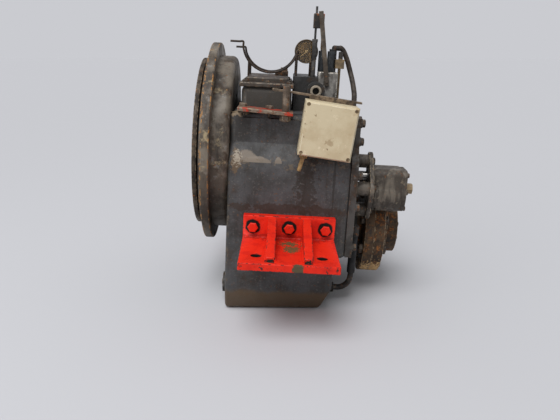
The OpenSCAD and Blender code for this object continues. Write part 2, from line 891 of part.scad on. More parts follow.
module cover_bolts() color("#5a4636") {
    translate([rim_boss_h, 0, 0]) at_rim_bolts() bolt(cover_bolt_d, cover_t + rim_t);
    at_lid_bolts() bolt(lid_bolt_d, lid_t + lid_bolt_in);
    at_bell_bolts() bolt(cover_bolt_d, bell_wall + front_wall - bolt_tip_gap - cut);
}

module filler_cap() color("#7a4a2c") {
    x1 = x_pad + pad_l - filler_in;
    box([x1 - filler_l, filler_y, pad_z], [x1, filler_y + filler_w, pad_z + filler_h]);
    translate([x1 - knob_in, filler_y + filler_w / 2, pad_z + filler_h])
        cylinder(r = knob_r, h = knob_h);
}

// Mounting brackets
module bracket(side) {
    mirror([0, side < 0 ? 0 : 1, 0]) difference() {
        union() {
            along_x(x_bracket) linear_extrude(bracket_l) polygon([
                [-wall_y, bracket_top_z], [-bracket_face, bracket_top_z],
                [-bracket_face, foot_z + foot_t], [-foot_edge, foot_z + foot_t],
                [-foot_edge, foot_z], [-wall_y, foot_z]]);
            for (i = [-1, 1])
                along_x(bracket_mid + i * rib_gap / 2 - rib_w / 2) linear_extrude(rib_w) polygon([
                    [-bracket_face + cut, bracket_top_z - rib_top],
                    [-bracket_face, bracket_top_z - rib_top],
                    [rib_in - foot_edge, foot_z + foot_t + rib_toe],
                    [rib_in - foot_edge, foot_z + foot_t - cut],
                    [-bracket_face + cut, foot_z + foot_t - cut]]);
        }
        for (i = [-1, 1])
            translate([bracket_mid + i * foot_hole_gap / 2, foot_hole_in - foot_edge, foot_z - cut])
                cylinder(d = foot_hole_d, h = foot_t + 2 * cut);
        at_bracket_bolts() bolt_hole(bracket_bolt_d, bracket_t + cut);
    }
}

module mount_bracket_near() color("#c8452e") bracket(-1);

module mount_bracket_far() color("#c8452e") bracket(1);

module bracket_bolts() color("#8a3524") at_bracket_bolts() {
    difference() {
        cylinder(d = bracket_bolt_d * washer_ratio, h = washer_t);
        translate([0, 0, -cut]) cylinder(d = bracket_bolt_d + 2 * bolt_gap, h = washer_t + 2 * cut);
    }
    translate([0, 0, washer_t]) bolt(bracket_bolt_d, washer_t + bracket_t + wall);
}

module strainer_cover() color("#3a3632") {
    rod_x(x_case - strainer_t, x_case, strainer_r, strainer_axis);
    along_x(x_case - strainer_t - strainer_hex_h, strainer_axis)
        cylinder(r = strainer_hex_r, h = strainer_hex_h + cut, $fn = 6);
}

module drain_plug() color("#46423c") along_x(x_case - drain_h, drain_axis)
    cylinder(r = drain_r, h = drain_h, $fn = 6);

// Bent-rod cradle for the oil cooler: each hoop ends in level hooks of the given lengths
function hoop_point(y, a) = [hoop_x + hoop_r * cos(a), y, hoop_z + hoop_r * sin(a)];
function hoop_route(y, a0, a1, left, right) = concat(
    [hoop_point(y, a0) - [left, 0, 0], hoop_point(y, a0) - [left / 3, 0, 0]],
    [for (i = [0 : hoop_parts]) hoop_point(y, a0 + (a1 - a0) * i / hoop_parts)],
    right > 0 ? [hoop_point(y, a1) + [right / 3, 0, 2], hoop_point(y, a1) + [right, 0, 2]] : []);

module hoop_leg(x, y, z0) {
    dx = x - hoop_x;
    top = hoop_z - sqrt(hoop_r * hoop_r - dx * dx);
    translate([x, y, z0]) cylinder(r = hoop_rod_r - bolt_gap, h = top - z0);
}

module hoop(y, a0, a1, left, right) {
    union() {
        hose(hoop_route(y, a0, a1, left, right), hoop_rod_r);
        hoop_leg(hoop_left_leg, y, pad_z);
        hoop_leg(hoop_right_leg, y, block_top);
    }
}

module cooler_cradle() color("#5d4a3c") {
    hoop(hoop_near_y, 178, 348, 34, 0);
    hoop(hoop_near_y + hoop_gap, 189, 350, 26, 18);
}

// Junction box with its bar, post and strip
module support_bar() color("#7d5540") difference() {
    at_bar() box([-bar_l, bar_edge_y, 0], [0, bar_edge_y + bar_w, bar_t]);
    translate([post_x, post_y, shelf_z - cut]) cylinder(r = post_r + bolt_gap, h = far / 8);
    at_bar_bolts() bolt_hole(cover_bolt_d, bar_t + cut);
}

module support_post() color("#86604a")
    translate([post_x, post_y, shelf_z - post_sink]) cylinder(r = post_r, h = post_l);

module support_fasteners() color("#6a4a38") {
    at_bar_bolts() bolt(cover_bolt_d, bar_t + bar_bolt_in);
    translate([post_x, post_y, shelf_z - post_nut_h]) difference() {
        cylinder(r = post_r * 1.6, h = post_nut_h, $fn = 6);
        translate([0, 0, -cut]) cylinder(r = post_r + bolt_gap, h = post_nut_h + 2 * cut);
    }
    difference() {
        at_bar() for (x = bar_bolts) translate([x, bar_bolt_y, -bar_pad_h]) difference() {
            cylinder(r = cover_bolt_d, h = bar_pad_h);
            translate([0, 0, -cut]) cylinder(d = cover_bolt_d + 2 * bolt_gap, h = far / 8);
        }
        box([x_case, -far / 2, 0], [x_rear, 0, shelf_z]);
    }
}

module at_jbox() {
    translate(jbox_place) rotate([0, jbox_roll, 0]) children();
}

module box_strip() color("#8a6a50") at_jbox() {
    union() {
        box([strip_start, jbox_d, jbox_h / 2 + strip_lift],
            [strip_start + strip_l, jbox_d + strip_w, jbox_h / 2 + strip_lift + strip_h]);
        box([strip_pad_in - jbox_w / 2, jbox_d, 0],
            [jbox_w / 2 - strip_pad_in, jbox_d + strip_t, jbox_h / 2 + strip_lift + cut]);
    }
}

module jbox_corners(y) {
    for (x = [-1, 1], z = [-1, 1])
        translate([x * (jbox_w / 2 - screw_in), y, z * (jbox_h / 2 - screw_in)])
            rotate([90, 0, 0]) children();
}

module junction_box() color("#b3a083") at_jbox() difference() {
    box([-jbox_w / 2, jbox_lid_d, -jbox_h / 2], [jbox_w / 2, jbox_d, jbox_h / 2]);
    difference() {
        box([jbox_wall - jbox_w / 2, jbox_lid_d - cut, jbox_wall - jbox_h / 2],
            [jbox_w / 2 - jbox_wall, jbox_d - jbox_wall, jbox_h / 2 - jbox_wall]);
        jbox_corners(jbox_d) cylinder(r = 2 * screw_r, h = jbox_d);
    }
    jbox_corners(jbox_lid_d) bolt_hole(screw_r, screw_hole_l);
}

module junction_box_lid() color("#bfae92") at_jbox() difference() {
    hull() {
        box([-jbox_w / 2, jbox_lid_d / 2, -jbox_h / 2], [jbox_w / 2, jbox_lid_d, jbox_h / 2]);
        box([lid_taper - jbox_w / 2, 0, lid_taper - jbox_h / 2],
            [jbox_w / 2 - lid_taper, jbox_lid_d, jbox_h / 2 - lid_taper]);
    }
    jbox_corners(jbox_lid_d + cut) cylinder(r = screw_r / 2 + bolt_gap, h = far / 8);
    jbox_corners(screw_depth) cylinder(r = screw_r + bolt_gap, h = far / 8);
}

module junction_box_screws() color("#7a6a52") at_jbox() jbox_corners(screw_depth) {
    shank = jbox_lid_d + screw_bite;
    cylinder(r = screw_r, h = screw_head_h);
    translate([0, 0, -shank]) cylinder(d = screw_r, h = shank + cut);
}

module cable_gland() color("#a5906c") at_jbox()
    translate([gland_in - jbox_w / 2, jbox_d / 2, -jbox_h / 2]) rotate([180, 0, 0]) {
        cylinder(r = gland_r, h = gland_h, $fn = 6);
        translate([0, 0, cable_in]) rotate([0, -cable_lean, 0])
            cylinder(r = cable_r, h = cable_l - cable_in);
    }

// Valves, gauge and cable parts on the shelf
module valve_block() color("#37332f") difference() {
    union() {
        box([x_block, block_front, shelf_z], [x_body, block_half_w + block_back, block_top]);
        rod_near(port_x, block_front, port_z, port_boss_r, port_reach);
    }
    rod_near(port_x, port_face + port_seat, port_z, port_ring_r + bolt_gap, port_seat + cut);
    translate([spool_x, spool_y, spool_base - spool_travel - spool_room])
        cylinder(r = spool_r + run_gap, h = far);
}

module valve_body() color("#8f8a80")
    box([x_body, block_front, shelf_z], [x_body + body_l, block_front + body_w, body_top]);

module solenoids() color("#1f1e1d") {
    for (x = solenoid_x) translate([x, solenoid_y, body_top]) {
        cylinder(r = solenoid_r, h = solenoid_h);
        cylinder(r = solenoid_cap, h = solenoid_h + solenoid_cap);
    }
    translate([solenoid_x[0], solenoid_y, body_top + solenoid_h + solenoid_cap])
        cylinder(r = coil_top_r, h = coil_top_h);
}

module pressure_switch() color("#8d7350") {
    x = x_body + body_l + switch_gap;
    z = body_top + switch_lift;
    translate([x, solenoid_y, shelf_z]) cylinder(r = switch_rod_r, h = z + cut - shelf_z);
    box([x - switch_in, solenoid_y - switch_w / 2, z],
        [x - switch_in + switch_w, solenoid_y + switch_w / 2, z + switch_w]);
    translate([x + switch_stub_x, solenoid_y, z + switch_w - cut])
        cylinder(r = switch_stub_r, h = switch_stub_l + cut);
}

module cable_bracket() color("#7c7466")
    translate([flat_foot[0], block_front, flat_foot[1]]) rotate([0, -flat_lean, 0]) {
        box([-flat_w / 2, -flat_t, 0], [flat_w / 2, 0, flat_l]);
        rod_near(0, -flat_t, rivet_z, rivet_r, rivet_h);
    }

module cable_anchor() color("#2a2826") difference() {
    top_x = flat_foot[0] - (anchor_z + anchor_h / 2 - flat_foot[1]) * tan(flat_lean);
    union() {
        box([spool_x - anchor_half_l, spool_y - anchor_half_w, anchor_z],
            [spool_x + anchor_half_l, spool_y + anchor_half_w, anchor_z + anchor_h]);
        box([spool_x - anchor_half_l, block_front, anchor_z],
            [top_x + flat_w / 2 + cut, spool_y, anchor_z + anchor_h]);
    }
    translate([spool_x, spool_y, anchor_z - cut]) cylinder(r = rod_r + pass_gap, h = far);
}

module gauge_case() color("#8a7a5c") difference() {
    rod_near(gauge_x, gauge_back, gauge_z, gauge_r, gauge_depth);
    rod_near(gauge_x, gauge_face + dial_depth, gauge_z, gauge_r - bezel_w, far);
    rod_near(gauge_x, gauge_face + dial_depth + pointer_pin_l + cut, gauge_z,
        pointer_pin_r + run_gap, far);
}

module gauge_pointer() color("#e8e2d0") {
    y = gauge_face + dial_depth - pass_gap;
    pin = pass_gap + pointer_pin_l;
    translate([gauge_x, y, gauge_z]) rotate([0, pointer_rest, 0]) {
        translate([-pointer_w / 2, -pointer_t, -pointer_tail])
            cube([pointer_w, pointer_t, gauge_r - cut]);
        rod_near(0, 0, 0, pointer_hub_r, pointer_t);
    }
    rod_near(gauge_x, y + pin, gauge_z, pointer_pin_r, pin);
}

module gauge_pipe() color("#6e5138") union() {
    rod_near(gauge_x, pipe_y, gauge_z, pipe_r, pipe_y - gauge_back);
    translate([gauge_x, pipe_y, gauge_z]) sphere(r = pipe_r);
    rod_x(gauge_x, pipe_x, pipe_r, [pipe_y, gauge_z]);
    translate([pipe_x, pipe_y, gauge_z]) sphere(r = pipe_r);
    translate([pipe_x, pipe_y, block_top]) cylinder(r = pipe_r, h = gauge_z - block_top);
}

module selector_spool() color("#9a9186") translate([spool_x, spool_y, 0]) {
    translate([0, 0, spool_base]) cylinder(r = spool_r, h = sleeve_z - spool_base + cut);
    translate([0, 0, sleeve_z]) cylinder(r = sleeve_r, h = sleeve_l);
    translate([0, 0, sleeve_z + sleeve_l - cut])
        cylinder(r = spool_nut_r, h = spool_nut_h, $fn = 6);
    translate([0, 0, sleeve_z + sleeve_l]) cylinder(r = rod_r, h = rod_top - sleeve_z - sleeve_l);
}

// Hoses
module supply_hose() color("#3b2d24") hose(supply_route, supply_r);

module return_hose() color("#1c1b1a") hose(return_route, return_r);

module hose_fittings() color("#4a453e") {
    top = supply_route[0];
    end = supply_route[len(supply_route) - 1];
    union() {
        translate([top[0] - elbow_l, top[1], body_top]) cylinder(r = supply_r, h = top[2] - body_top);
        translate([top[0] - elbow_l, top[1], top[2]]) sphere(r = supply_r);
        rod_x(top[0] - elbow_l, top[0], supply_r, [top[1], top[2]]);
    }
    translate([end[0], end[1], shelf_z])
        cylinder(r = supply_r + hose_nut_wall, h = end[2] - shelf_z, $fn = 6);
    start = return_route[0];
    union() {
        rod_x(x_cover, start[0], return_r + elbow_wall, [start[1], start[2] + elbow_rise]);
        translate(start) cylinder(r = return_r + elbow_wall, h = 2 * elbow_rise);
    }
    union() {
        along_x(x_pan + pan_boss_h, pan_port) cylinder(r = tail_nut_r, h = tail_nut_l, $fn = 6);
        hose(pipe_route, return_pipe_r);
    }
    difference() {
        rod_near(port_x, port_face + port_seat, port_z, port_ring_r, port_ring_l);
        rod_near(port_x, port_face + port_seat + cut, port_z, port_r, port_ring_l + 2 * cut);
    }
}

// Bearings and seals
module front_bearings() color("#9a9a98") {
    x1 = x_bearing + bearing_w;
    ring_x(x_bearing, x1, input_bearing_r, input_nose_r + run_gap);
    ring_x(x_bearing, x1, counter_bearing_r, counter_end_r + run_gap, counter_axis);
    ring_x(x_bearing, x1, output_bearing_r, input_nose_r + run_gap, output_axis);
}

module rear_bearings() color("#9a9a98") {
    x1 = x_rear_bearing + bearing_w;
    ring_x(x_rear_bearing, x1, counter_bearing_r, shaft_r + run_gap);
    ring_x(x_rear_bearing, x1, counter_bearing_r, counter_end_r + run_gap, counter_axis);
    ring_x(x_rear_bearing, x_tail_bearing_end, tail_bearing_r, output_tail_r + run_gap, output_axis);
}

module shaft_seals() color("#222222") {
    ring_x(x_case + seal_in, x_case + seal_in + seal_w, input_seal_r, input_nose_r + run_gap);
    x1 = x_out_boss - out_seal_in;
    ring_x(x1 - seal_w, x1, out_seal_r, out_hub_r + run_gap, output_axis);
}

// Oil pump
module at_pump_standoffs(x) {
    for (p = standoff_points) along_x(x, p) children();
}

module pump_plate() color("#565049") difference() {
    along_x(x_plate) linear_extrude(plate_t) hull() for (p = standoff_points)
        translate(p) circle(r = plate_r, $fn = 32);
    at_pump_standoffs(x_pump) bolt_hole(cover_bolt_d, plate_t + cut);
    rod_x(x_plate - cut, x_pump + cut, tail_r + tail_gap, counter_axis);
}

module pump_standoffs() color("#5c564f") difference() {
    at_pump_standoffs(x_cover) cylinder(r = standoff_r, h = standoff_l);
    at_pump_standoffs(x_plate) bolt_hole(cover_bolt_d, standoff_l + cut);
}

module pump_outline(inset) {
    half = pump_half_w - inset;
    translate(pump_low) circle(r = pump_low_r - inset);
    top = pump_top_z - inset;
    translate([counter_axis[0] - half, pump_low[1]])
        square([2 * half, top - pump_round - pump_low[1]]);
    translate([counter_axis[0] - half + pump_round, pump_low[1]])
        square([2 * (half - pump_round), top - pump_low[1]]);
    for (side = [-1, 1])
        translate([counter_axis[0] + side * (half - pump_round), top - pump_round])
            circle(r = pump_round);
}

module at_pump_bolts(x) {
    for (p = cover_points) along_x(x, p) children();
}

module pump_body() color("#6f665b") difference() {
    along_x(x_pump) linear_extrude(pump_l) pump_outline(0);
    for (axis = [counter_axis, driven_axis])
        rod_x(x_pump + pump_front_wall, x_pump_cover + cut,
            pump_module * (pump_teeth / 2 + 1) + pass_gap, axis);
    rod_x(x_pump - cut, x_pump_cover, tail_r + run_gap, counter_axis);
    rod_x(x_pump + stub_start - stub_gap, x_pump_cover, stub_r + run_gap, driven_axis);
    at_pump_bolts(x_pump_cover) bolt_hole(pump_bolt_d, pump_bolt_in + 2 * bolt_tip_gap);
    at_pump_standoffs(x_pump - cut) cylinder(d = cover_bolt_d * head_clear, h = head_room + cut);
}

module pump_cover() color("#7a7166") difference() {
    union() {
        along_x(x_pump_cover) linear_extrude(pump_cover_t) pump_outline(pump_cover_inset);
        along_x(x_pump_cover + pump_cover_t - cut, counter_axis - [0, pump_hex_drop])
            cylinder(r = pump_hex_r, h = pump_hex_h, $fn = 6);
    }
    for (axis = [counter_axis, driven_axis])
        rod_x(x_pump_cover - cut, x_pump_cover + stub_end + stub_gap, stub_r + run_gap, axis);
    at_pump_bolts(x_pump_cover + pump_cover_t) bolt_hole(pump_bolt_d, pump_cover_t + cut);
}

module pump_bolts() color("#51483f") {
    at_pump_standoffs(x_pump) bolt(cover_bolt_d, plate_t + standoff_l + standoff_bolt_in);
    at_pump_bolts(x_pump_cover + pump_cover_t) bolt(pump_bolt_d, pump_cover_t + pump_bolt_in);
}

// Input train
module input_shaft() color("#a8a49c") union() {
    rod_x(-hub_front - cut, x_shoulder, input_nose_r);
    rod_x(x_shoulder - cut, x_rear_bearing + bearing_w, shaft_r);
}

module coupling_hub() color("#6a665f") difference() {
    union() {
        rod_x(-hub_front, rubber_w - ring_reach + ring_t, hub_flange_d / 2);
        rod_x(-hub_front, x_case - bell_wall - hub_gap, input_nose_r + hub_wall);
    }
    rod_x(-hub_front - cut, x_case, input_nose_r);
}

module coupling_rubber() color("#1b1a19")
    ring_x(ring_t - ring_reach, rubber_w - ring_reach + ring_t, rubber_d / 2, hub_flange_d / 2);

module coupling_ring() color("#7b5a43") difference() {
    ring_x(-ring_reach, ring_t - ring_reach, ring_d / 2, ring_bore_d / 2);
    for (i = [0 : ring_hole_n - 1]) {
        a = i * 360 / ring_hole_n;
        rod_x(-ring_reach - cut, ring_t - ring_reach + cut, ring_hole_d / 2,
            ring_pcd / 2 * [cos(a), sin(a)]);
    }
}

// A transfer gear with its clutch drum
module gear_drum(axis, turn) {
    inner = drum_r - drum_wall;
    difference() {
        union() {
            along_x(x_drum - transfer_face, axis)
                spur_gear(gear_module, transfer_teeth, transfer_face, turn);
            rod_x(x_drum, x_drum + drum_l, drum_r, axis);
        }
        ring_x(x_drum + drum_web, x_drum + drum_l + cut, inner, shaft_r + drum_wall, axis);
        rod_x(x_pack - pack_gap, x_drum + drum_l + cut, inner, axis);
        rod_x(x_shoulder - cut, x_drum + drum_l, shaft_r, axis);
    }
}

module clutch_pack(axis) {
    pitch = (x_drum + drum_l - x_pack) / clutch_plates;
    for (i = [0 : clutch_plates - 1])
        ring_x(x_pack + i * pitch, x_pack + i * pitch + clutch_plate_t,
            drum_r - drum_wall, shaft_r + pinion_wall + clutch_gap, axis);
}

module clutch_piston(axis) {
    ring_x(x_piston, x_piston + piston_t,
        drum_r - drum_wall - pass_gap, shaft_r + drum_wall + pass_gap, axis);
}

module clutch_pinion(axis, turn) {
    difference() {
        union() {
            along_x(x_pinion, axis) spur_gear(gear_module, pinion_teeth, pinion_face, turn);
            rod_x(x_pack, x_pinion + cut, shaft_r + pinion_wall, axis);
        }
        rod_x(x_pack - cut, x_pinion + pinion_face + cut, shaft_r + run_gap, axis);
    }
}

module forward_drum() color("#8b877f") gear_drum(input_axis, 0);

module forward_clutch_pack() color("#77664f") clutch_pack(input_axis);

module forward_piston() color("#9c9890") clutch_piston(input_axis);

module forward_pinion() color("#a09c93") clutch_pinion(input_axis, forward_turn);

// Counter train
module counter_shaft() color("#a8a49c") union() {
    rod_x(x_bearing + bearing_gap, x_shoulder, counter_end_r, counter_axis);
    rod_x(x_shoulder - cut, x_rear_bearing - neck_l, shaft_r, counter_axis);
    rod_x(x_rear_bearing - neck_l - cut, x_rear_bearing + bearing_w, counter_end_r, counter_axis);
    rod_x(x_rear_bearing, x_pump_gear, tail_r, counter_axis);
    along_x(x_pump_gear, counter_axis) spur_gear(pump_module, pump_teeth, pump_gear_l, 0);
    rod_x(x_pump_gear - cut, x_pump_cover + stub_end, stub_r, counter_axis);
}

module reverse_drum() color("#8b877f") gear_drum(counter_axis, transfer_turn);

module reverse_clutch_pack() color("#77664f") clutch_pack(counter_axis);

module reverse_piston() color("#9c9890") clutch_piston(counter_axis);

module reverse_pinion() color("#a09c93") clutch_pinion(counter_axis, reverse_turn);

module pump_driven_gear() color("#a8a49c") union() {
    along_x(x_pump_gear, driven_axis) spur_gear(pump_module, pump_teeth, pump_gear_l, driven_turn);
    rod_x(x_pump + stub_start, x_pump_cover + stub_end, stub_r, driven_axis);
}

// Output train
module output_shaft() color("#a8a49c") union() {
    rod_x(x_bearing + bearing_gap, x_shoulder, input_nose_r, output_axis);
    rod_x(x_shoulder - cut, x_rear_bearing - neck_l, output_r, output_axis);
    rod_x(x_rear_bearing - neck_l - cut, x_mate + cut, output_tail_r, output_axis);
    along_x(x_mate, output_axis) cylinder(r = out_nut_r, h = out_nut_h, $fn = 6);
}

module output_gear() color("#938f86") difference() {
    rim = gear_module * output_teeth / 2 - gear_rim;
    along_x(x_gear, output_axis) spur_gear(gear_module, output_teeth, output_face, 90);
    hub = output_r + gear_hub;
    x1 = x_gear + output_face;
    ring_x(x_gear - cut, x_gear + web_in, rim, hub, output_axis);
    ring_x(x1 - web_in, x1 + cut, rim, hub, output_axis);
    for (a = [30 : 60 : 330])
        rod_x(x_gear, x1, gear_hole_r, output_axis + gear_hole_circle * [cos(a), sin(a)]);
    rod_x(x_gear - cut, x_gear + output_face + cut, output_r, output_axis);
}

module at_out_bolts(x) {
    for (i = [0 : out_bolt_n - 1]) {
        a = (i + 0.5) * 360 / out_bolt_n;
        along_x(x, output_axis + out_bolt_r * [cos(a), sin(a)]) children();
    }
}

module at_hub_bolts(x) {
    for (i = [0 : hub_bolt_n - 1]) {
        a = (i + 0.5) * 360 / hub_bolt_n;
        along_x(x, output_axis + (mate_hub_r + prop_bore_r) / 2 * [cos(a), sin(a)]) children();
    }
}

module output_flange() color("#6b4a36") difference() {
    union() {
        rod_x(x_flange, x_mate, out_flange_r, output_axis);
        rod_x(x_tail_bearing_end + neck_l, x_flange + cut, out_hub_r, output_axis);
    }
    rod_x(x_tail_bearing_end, x_mate + cut, output_tail_r, output_axis);
    at_out_bolts(x_mate) bolt_hole(bracket_bolt_d, out_flange_t + cut);
}

module companion_flange() color("#7a5238") difference() {
    union() {
        rod_x(x_mate, x_step, out_flange_r, output_axis);
        rod_x(x_step - cut, x_hub, mate_step_r, output_axis);
        rod_x(x_hub - cut, x_hub_end, mate_hub_r, output_axis);
    }
    rod_x(x_mate - cut, x_mate + out_nut_h + nut_gap_x, out_nut_r + nut_gap_r, output_axis);
    rod_x(x_hub_end - prop_bore_l, x_hub_end + cut, prop_bore_r, output_axis);
    at_out_bolts(x_step) bolt_hole(bracket_bolt_d, mate_flange_t + cut);
    at_hub_bolts(x_hub_end) bolt_hole(pump_bolt_d, hub_hole_l);
}

module flange_bolts() color("#5b4030") {
    at_out_bolts(x_step) bolt(bracket_bolt_d, out_flange_t + mate_flange_t);
    at_out_bolts(x_flange - bracket_bolt_d * head_ratio) hex_head(bracket_bolt_d);
    at_hub_bolts(x_hub_end) bolt(pump_bolt_d, hub_bolt_l);
}

bell_housing();
main_case();
rear_cover();
top_cover();
cover_bolts();
filler_cap();
mount_bracket_near();
mount_bracket_far();
bracket_bolts();
strainer_cover();
drain_plug();
cooler_cradle();
support_bar();
support_post();
support_fasteners();
box_strip();
junction_box();
junction_box_lid();
junction_box_screws();
cable_gland();
valve_block();
valve_body();
solenoids();
pressure_switch();
cable_bracket();
cable_anchor();
gauge_case();
gauge_pipe();
supply_hose();
return_hose();
hose_fittings();
front_bearings();
rear_bearings();
shaft_seals();
pump_plate();
pump_standoffs();
pump_body();
pump_cover();
pump_bolts();
input_shaft();
coupling_hub();
coupling_rubber();
coupling_ring();
forward_drum();
forward_clutch_pack();
forward_piston();
forward_pinion();
counter_shaft();
reverse_drum();
reverse_clutch_pack();
reverse_piston();
reverse_pinion();
output_shaft();
output_gear();
output_flange();
companion_flange();
flange_bolts();
pump_driven_gear();
selector_spool();
gauge_pointer();
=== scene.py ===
"""Looks of a marine gearbox: its paint, iron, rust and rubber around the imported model."""

import json
import math
import random

import bmesh
import bpy
import numpy as np
from bpy.props import FloatProperty, FloatVectorProperty, IntProperty, PointerProperty
from bpy.types import Operator, Panel, PropertyGroup
from mathutils import Matrix, Vector


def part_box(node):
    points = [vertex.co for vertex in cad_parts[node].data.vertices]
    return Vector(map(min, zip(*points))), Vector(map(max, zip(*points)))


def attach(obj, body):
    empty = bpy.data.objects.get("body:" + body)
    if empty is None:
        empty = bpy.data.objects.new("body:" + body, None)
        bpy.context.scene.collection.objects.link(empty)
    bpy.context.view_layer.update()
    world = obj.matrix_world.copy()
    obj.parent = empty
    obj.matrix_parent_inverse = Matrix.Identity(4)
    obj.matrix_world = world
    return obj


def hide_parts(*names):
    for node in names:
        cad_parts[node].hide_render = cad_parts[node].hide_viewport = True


bl_info = {
    "name": "Marine gearbox looks",
    "version": (1, 0, 0),
    "blender": (4, 5, 0),
    "location": "3D View > Sidebar > Gearbox",
    "description": "Dresses the packed marine gearbox in its finishes and fine pieces",
    "category": "Object",
}

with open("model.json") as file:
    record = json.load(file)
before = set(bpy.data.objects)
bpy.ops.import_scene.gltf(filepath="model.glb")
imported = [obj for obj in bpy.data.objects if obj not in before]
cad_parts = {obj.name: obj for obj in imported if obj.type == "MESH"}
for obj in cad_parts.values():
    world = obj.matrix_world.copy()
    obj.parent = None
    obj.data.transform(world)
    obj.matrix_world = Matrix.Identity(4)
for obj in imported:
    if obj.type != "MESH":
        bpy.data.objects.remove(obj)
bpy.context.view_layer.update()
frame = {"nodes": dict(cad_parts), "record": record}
RECORD = frame["record"]
BODY_OF = {n: b for b, names in RECORD["behaviour"]["bodies"].items() for n in names}

MERGE = 2e-6  # points closer than this are one
FLAT = math.radians(0.6)  # faces that differ by less become one
SHARP = math.radians(28)  # edges that turn by more are rounded
EDGE_SHARE = 3.0  # an edge this many roundings long gets the whole rounding
FOLDED = 2e-6  # overlap in square metres that counts as a fold
MANY = 6  # only faces with more corners are tested for folds
LEVEL = 2e-5  # points of a bolt this close in height are on one level
HEADED = 1.2  # a head is at least this much wider than its shank
WASHERED = 1.04  # a washer is at least this much wider than its head
THIN = 1e-5  # a shank or washer of less height is left out
ABOVE = 0.5
BELOW = -0.5
SHANK_SIDES = 20
SCREW_SIDES = 16
ROUND_SIDES = 32
TURN_STEPS = 72
RECESS = (1.3, 0.26, 0.9)  # a screw's cross recess, as shares of its head
NOISE_GAIN = 2.4
NOISE_SHIFT = -0.7
BUMP_DEPTH = 0.0008
RUST_ROUGH = 0.85

SENSOR = 36
EYE = (0.186563, -1.720730, 0.270442)
EYE_RIGHT = (0.99856866, 0.00200359, 0.05344738)
EYE_UP = (-0.05211117, 0.26147761, 0.96380179)
EYE_AHEAD = (0.01204423, 0.96520746, -0.26120775)
FLOOR_SLOPE = math.radians(3.06)
FLOOR_DROP = -0.431
FLOOR_SHARE = 0.88  # brings the lit floor to the background's tone
FLOOR_REACH = 40.0
FLOOR_ROUGH = 0.9
FLOOR_GLOSS = 0.1
KEY_SPREAD = math.radians(35)
KEY_AIM = (0.22, 0.50, -0.85)
FILL_SIZE = 1.6
FILL_PLACE = (-1.5, -1.4, 0.9)
FILL_AIM = (1.6, 1.4, -0.9)

BRACKET_FACE = 0.262
RIB_END = 0.437
RIB_X = 0.044
RIB_HALF = 0.0105
FOOT_TOP = -0.2
WELD_R = 0.0042
WELD_PITCH = 0.003
WELD_IN = 0.004
WELD_SIDES = 10
RIPPLE_STEP = 1.3
RIPPLE = 0.16
SUPPLY_ROUTE = (
    (0.341, -0.038, 0.278), (0.345, -0.038, 0.278), (0.349, -0.038, 0.278),
    (0.357, -0.037, 0.270), (0.368, -0.037, 0.248), (0.377, -0.040, 0.222),
    (0.385, -0.058, 0.192), (0.389, -0.083, 0.164), (0.389, -0.095, 0.147),
    (0.389, -0.095, 0.138), (0.389, -0.095, 0.130))
SUPPLY_R = 0.007
RETURN_ROUTE = (
    (0.411, -0.165, -0.212), (0.411, -0.165, -0.240), (0.411, -0.165, -0.265),
    (0.411, -0.164, -0.290), (0.411, -0.163, -0.306), (0.411, -0.163, -0.318))
RETURN_R = 0.011
TUBE_STEPS = 8
HOOP_X = 0.15896
HOOP_Z = 0.27925
HOOP_R = 0.074
HOOP_ROD = 0.00275
HOOP_STEPS = 18
HOOP_LIFT = 0.002
HOOP_LEGS = ((0.10198, 0.194), (0.230, 0.200))
HOOPS = ((-0.070, 178, 348, 0.034, 0.0), (0.030, 189, 350, 0.026, 0.018))
GAUGE = Vector((0.2545, -0.062, 0.265))
GAUGE_R = 0.0315
GAUGE_DEPTH = 0.030
GAUGE_RIM = 0.003
GAUGE_LIP = 0.001
BEZEL_DEPTH = 0.006
BEZEL_END = 0.0075
BACK_ROUND = 0.003
DIAL_DEPTH = 0.004
DIAL_THICK = 0.0003
DIAL_BORE = 0.002
DIAL_ROOM = 0.0004
MARK_IN = 0.004
MARK_SIZE = (0.0007, 0.0004, 0.004)
MARK_SWEEP = math.radians(270)
GLASS_FRONT = (0.0004, 0.0012)  # depth in the middle and at the rim
GLASS_BACK = (0.0014, 0.0022)

# name, colour, shade and level of the rust
COVERS = (
    ("cover_iron", (72, 69, 66), (44, 41, 38), 0.76),
    ("lid_iron", (72, 65, 58), (48, 43, 39), 0.64),
    ("strap_iron", (98, 88, 76), (66, 58, 50), 0.72))
# name, colour, shade, share of red paint and level of the rust
RUSTY = (
    ("rusty_steel", (104, 84, 64), (62, 50, 40), 0.0, 0.58),
    ("ring_rust", (86, 73, 58), (50, 43, 36), 0.0, 0.72),
    ("painted_bar", (122, 108, 94), (86, 70, 57), 0.9, 0.54),
    ("bare_post", (122, 108, 94), (80, 68, 57), 0.0, 0.66),
    ("strip_steel", (128, 110, 90), (84, 71, 58), 0.0, 0.70),
    ("cradle_rod", (56, 45, 36), (36, 30, 26), 0.0, 0.74))
# name, colour, shade, colour of the chipped edges and flecks, and grain, then ports with their
# colour, centre and reach
BOLTS = (
    ("bolt_steel", (84, 74, 63), (50, 44, 38), (140, 124, 102), 420.0),
    ("screw_steel", (140, 120, 92), (104, 88, 66), (178, 160, 130), 420.0),
    ("fitting_black", (46, 43, 40), (30, 28, 26), (88, 80, 70), 300.0,
     ((166, 154, 136), (0.283, -0.120, 0.166), (0.018, 0.016, 0.018))))
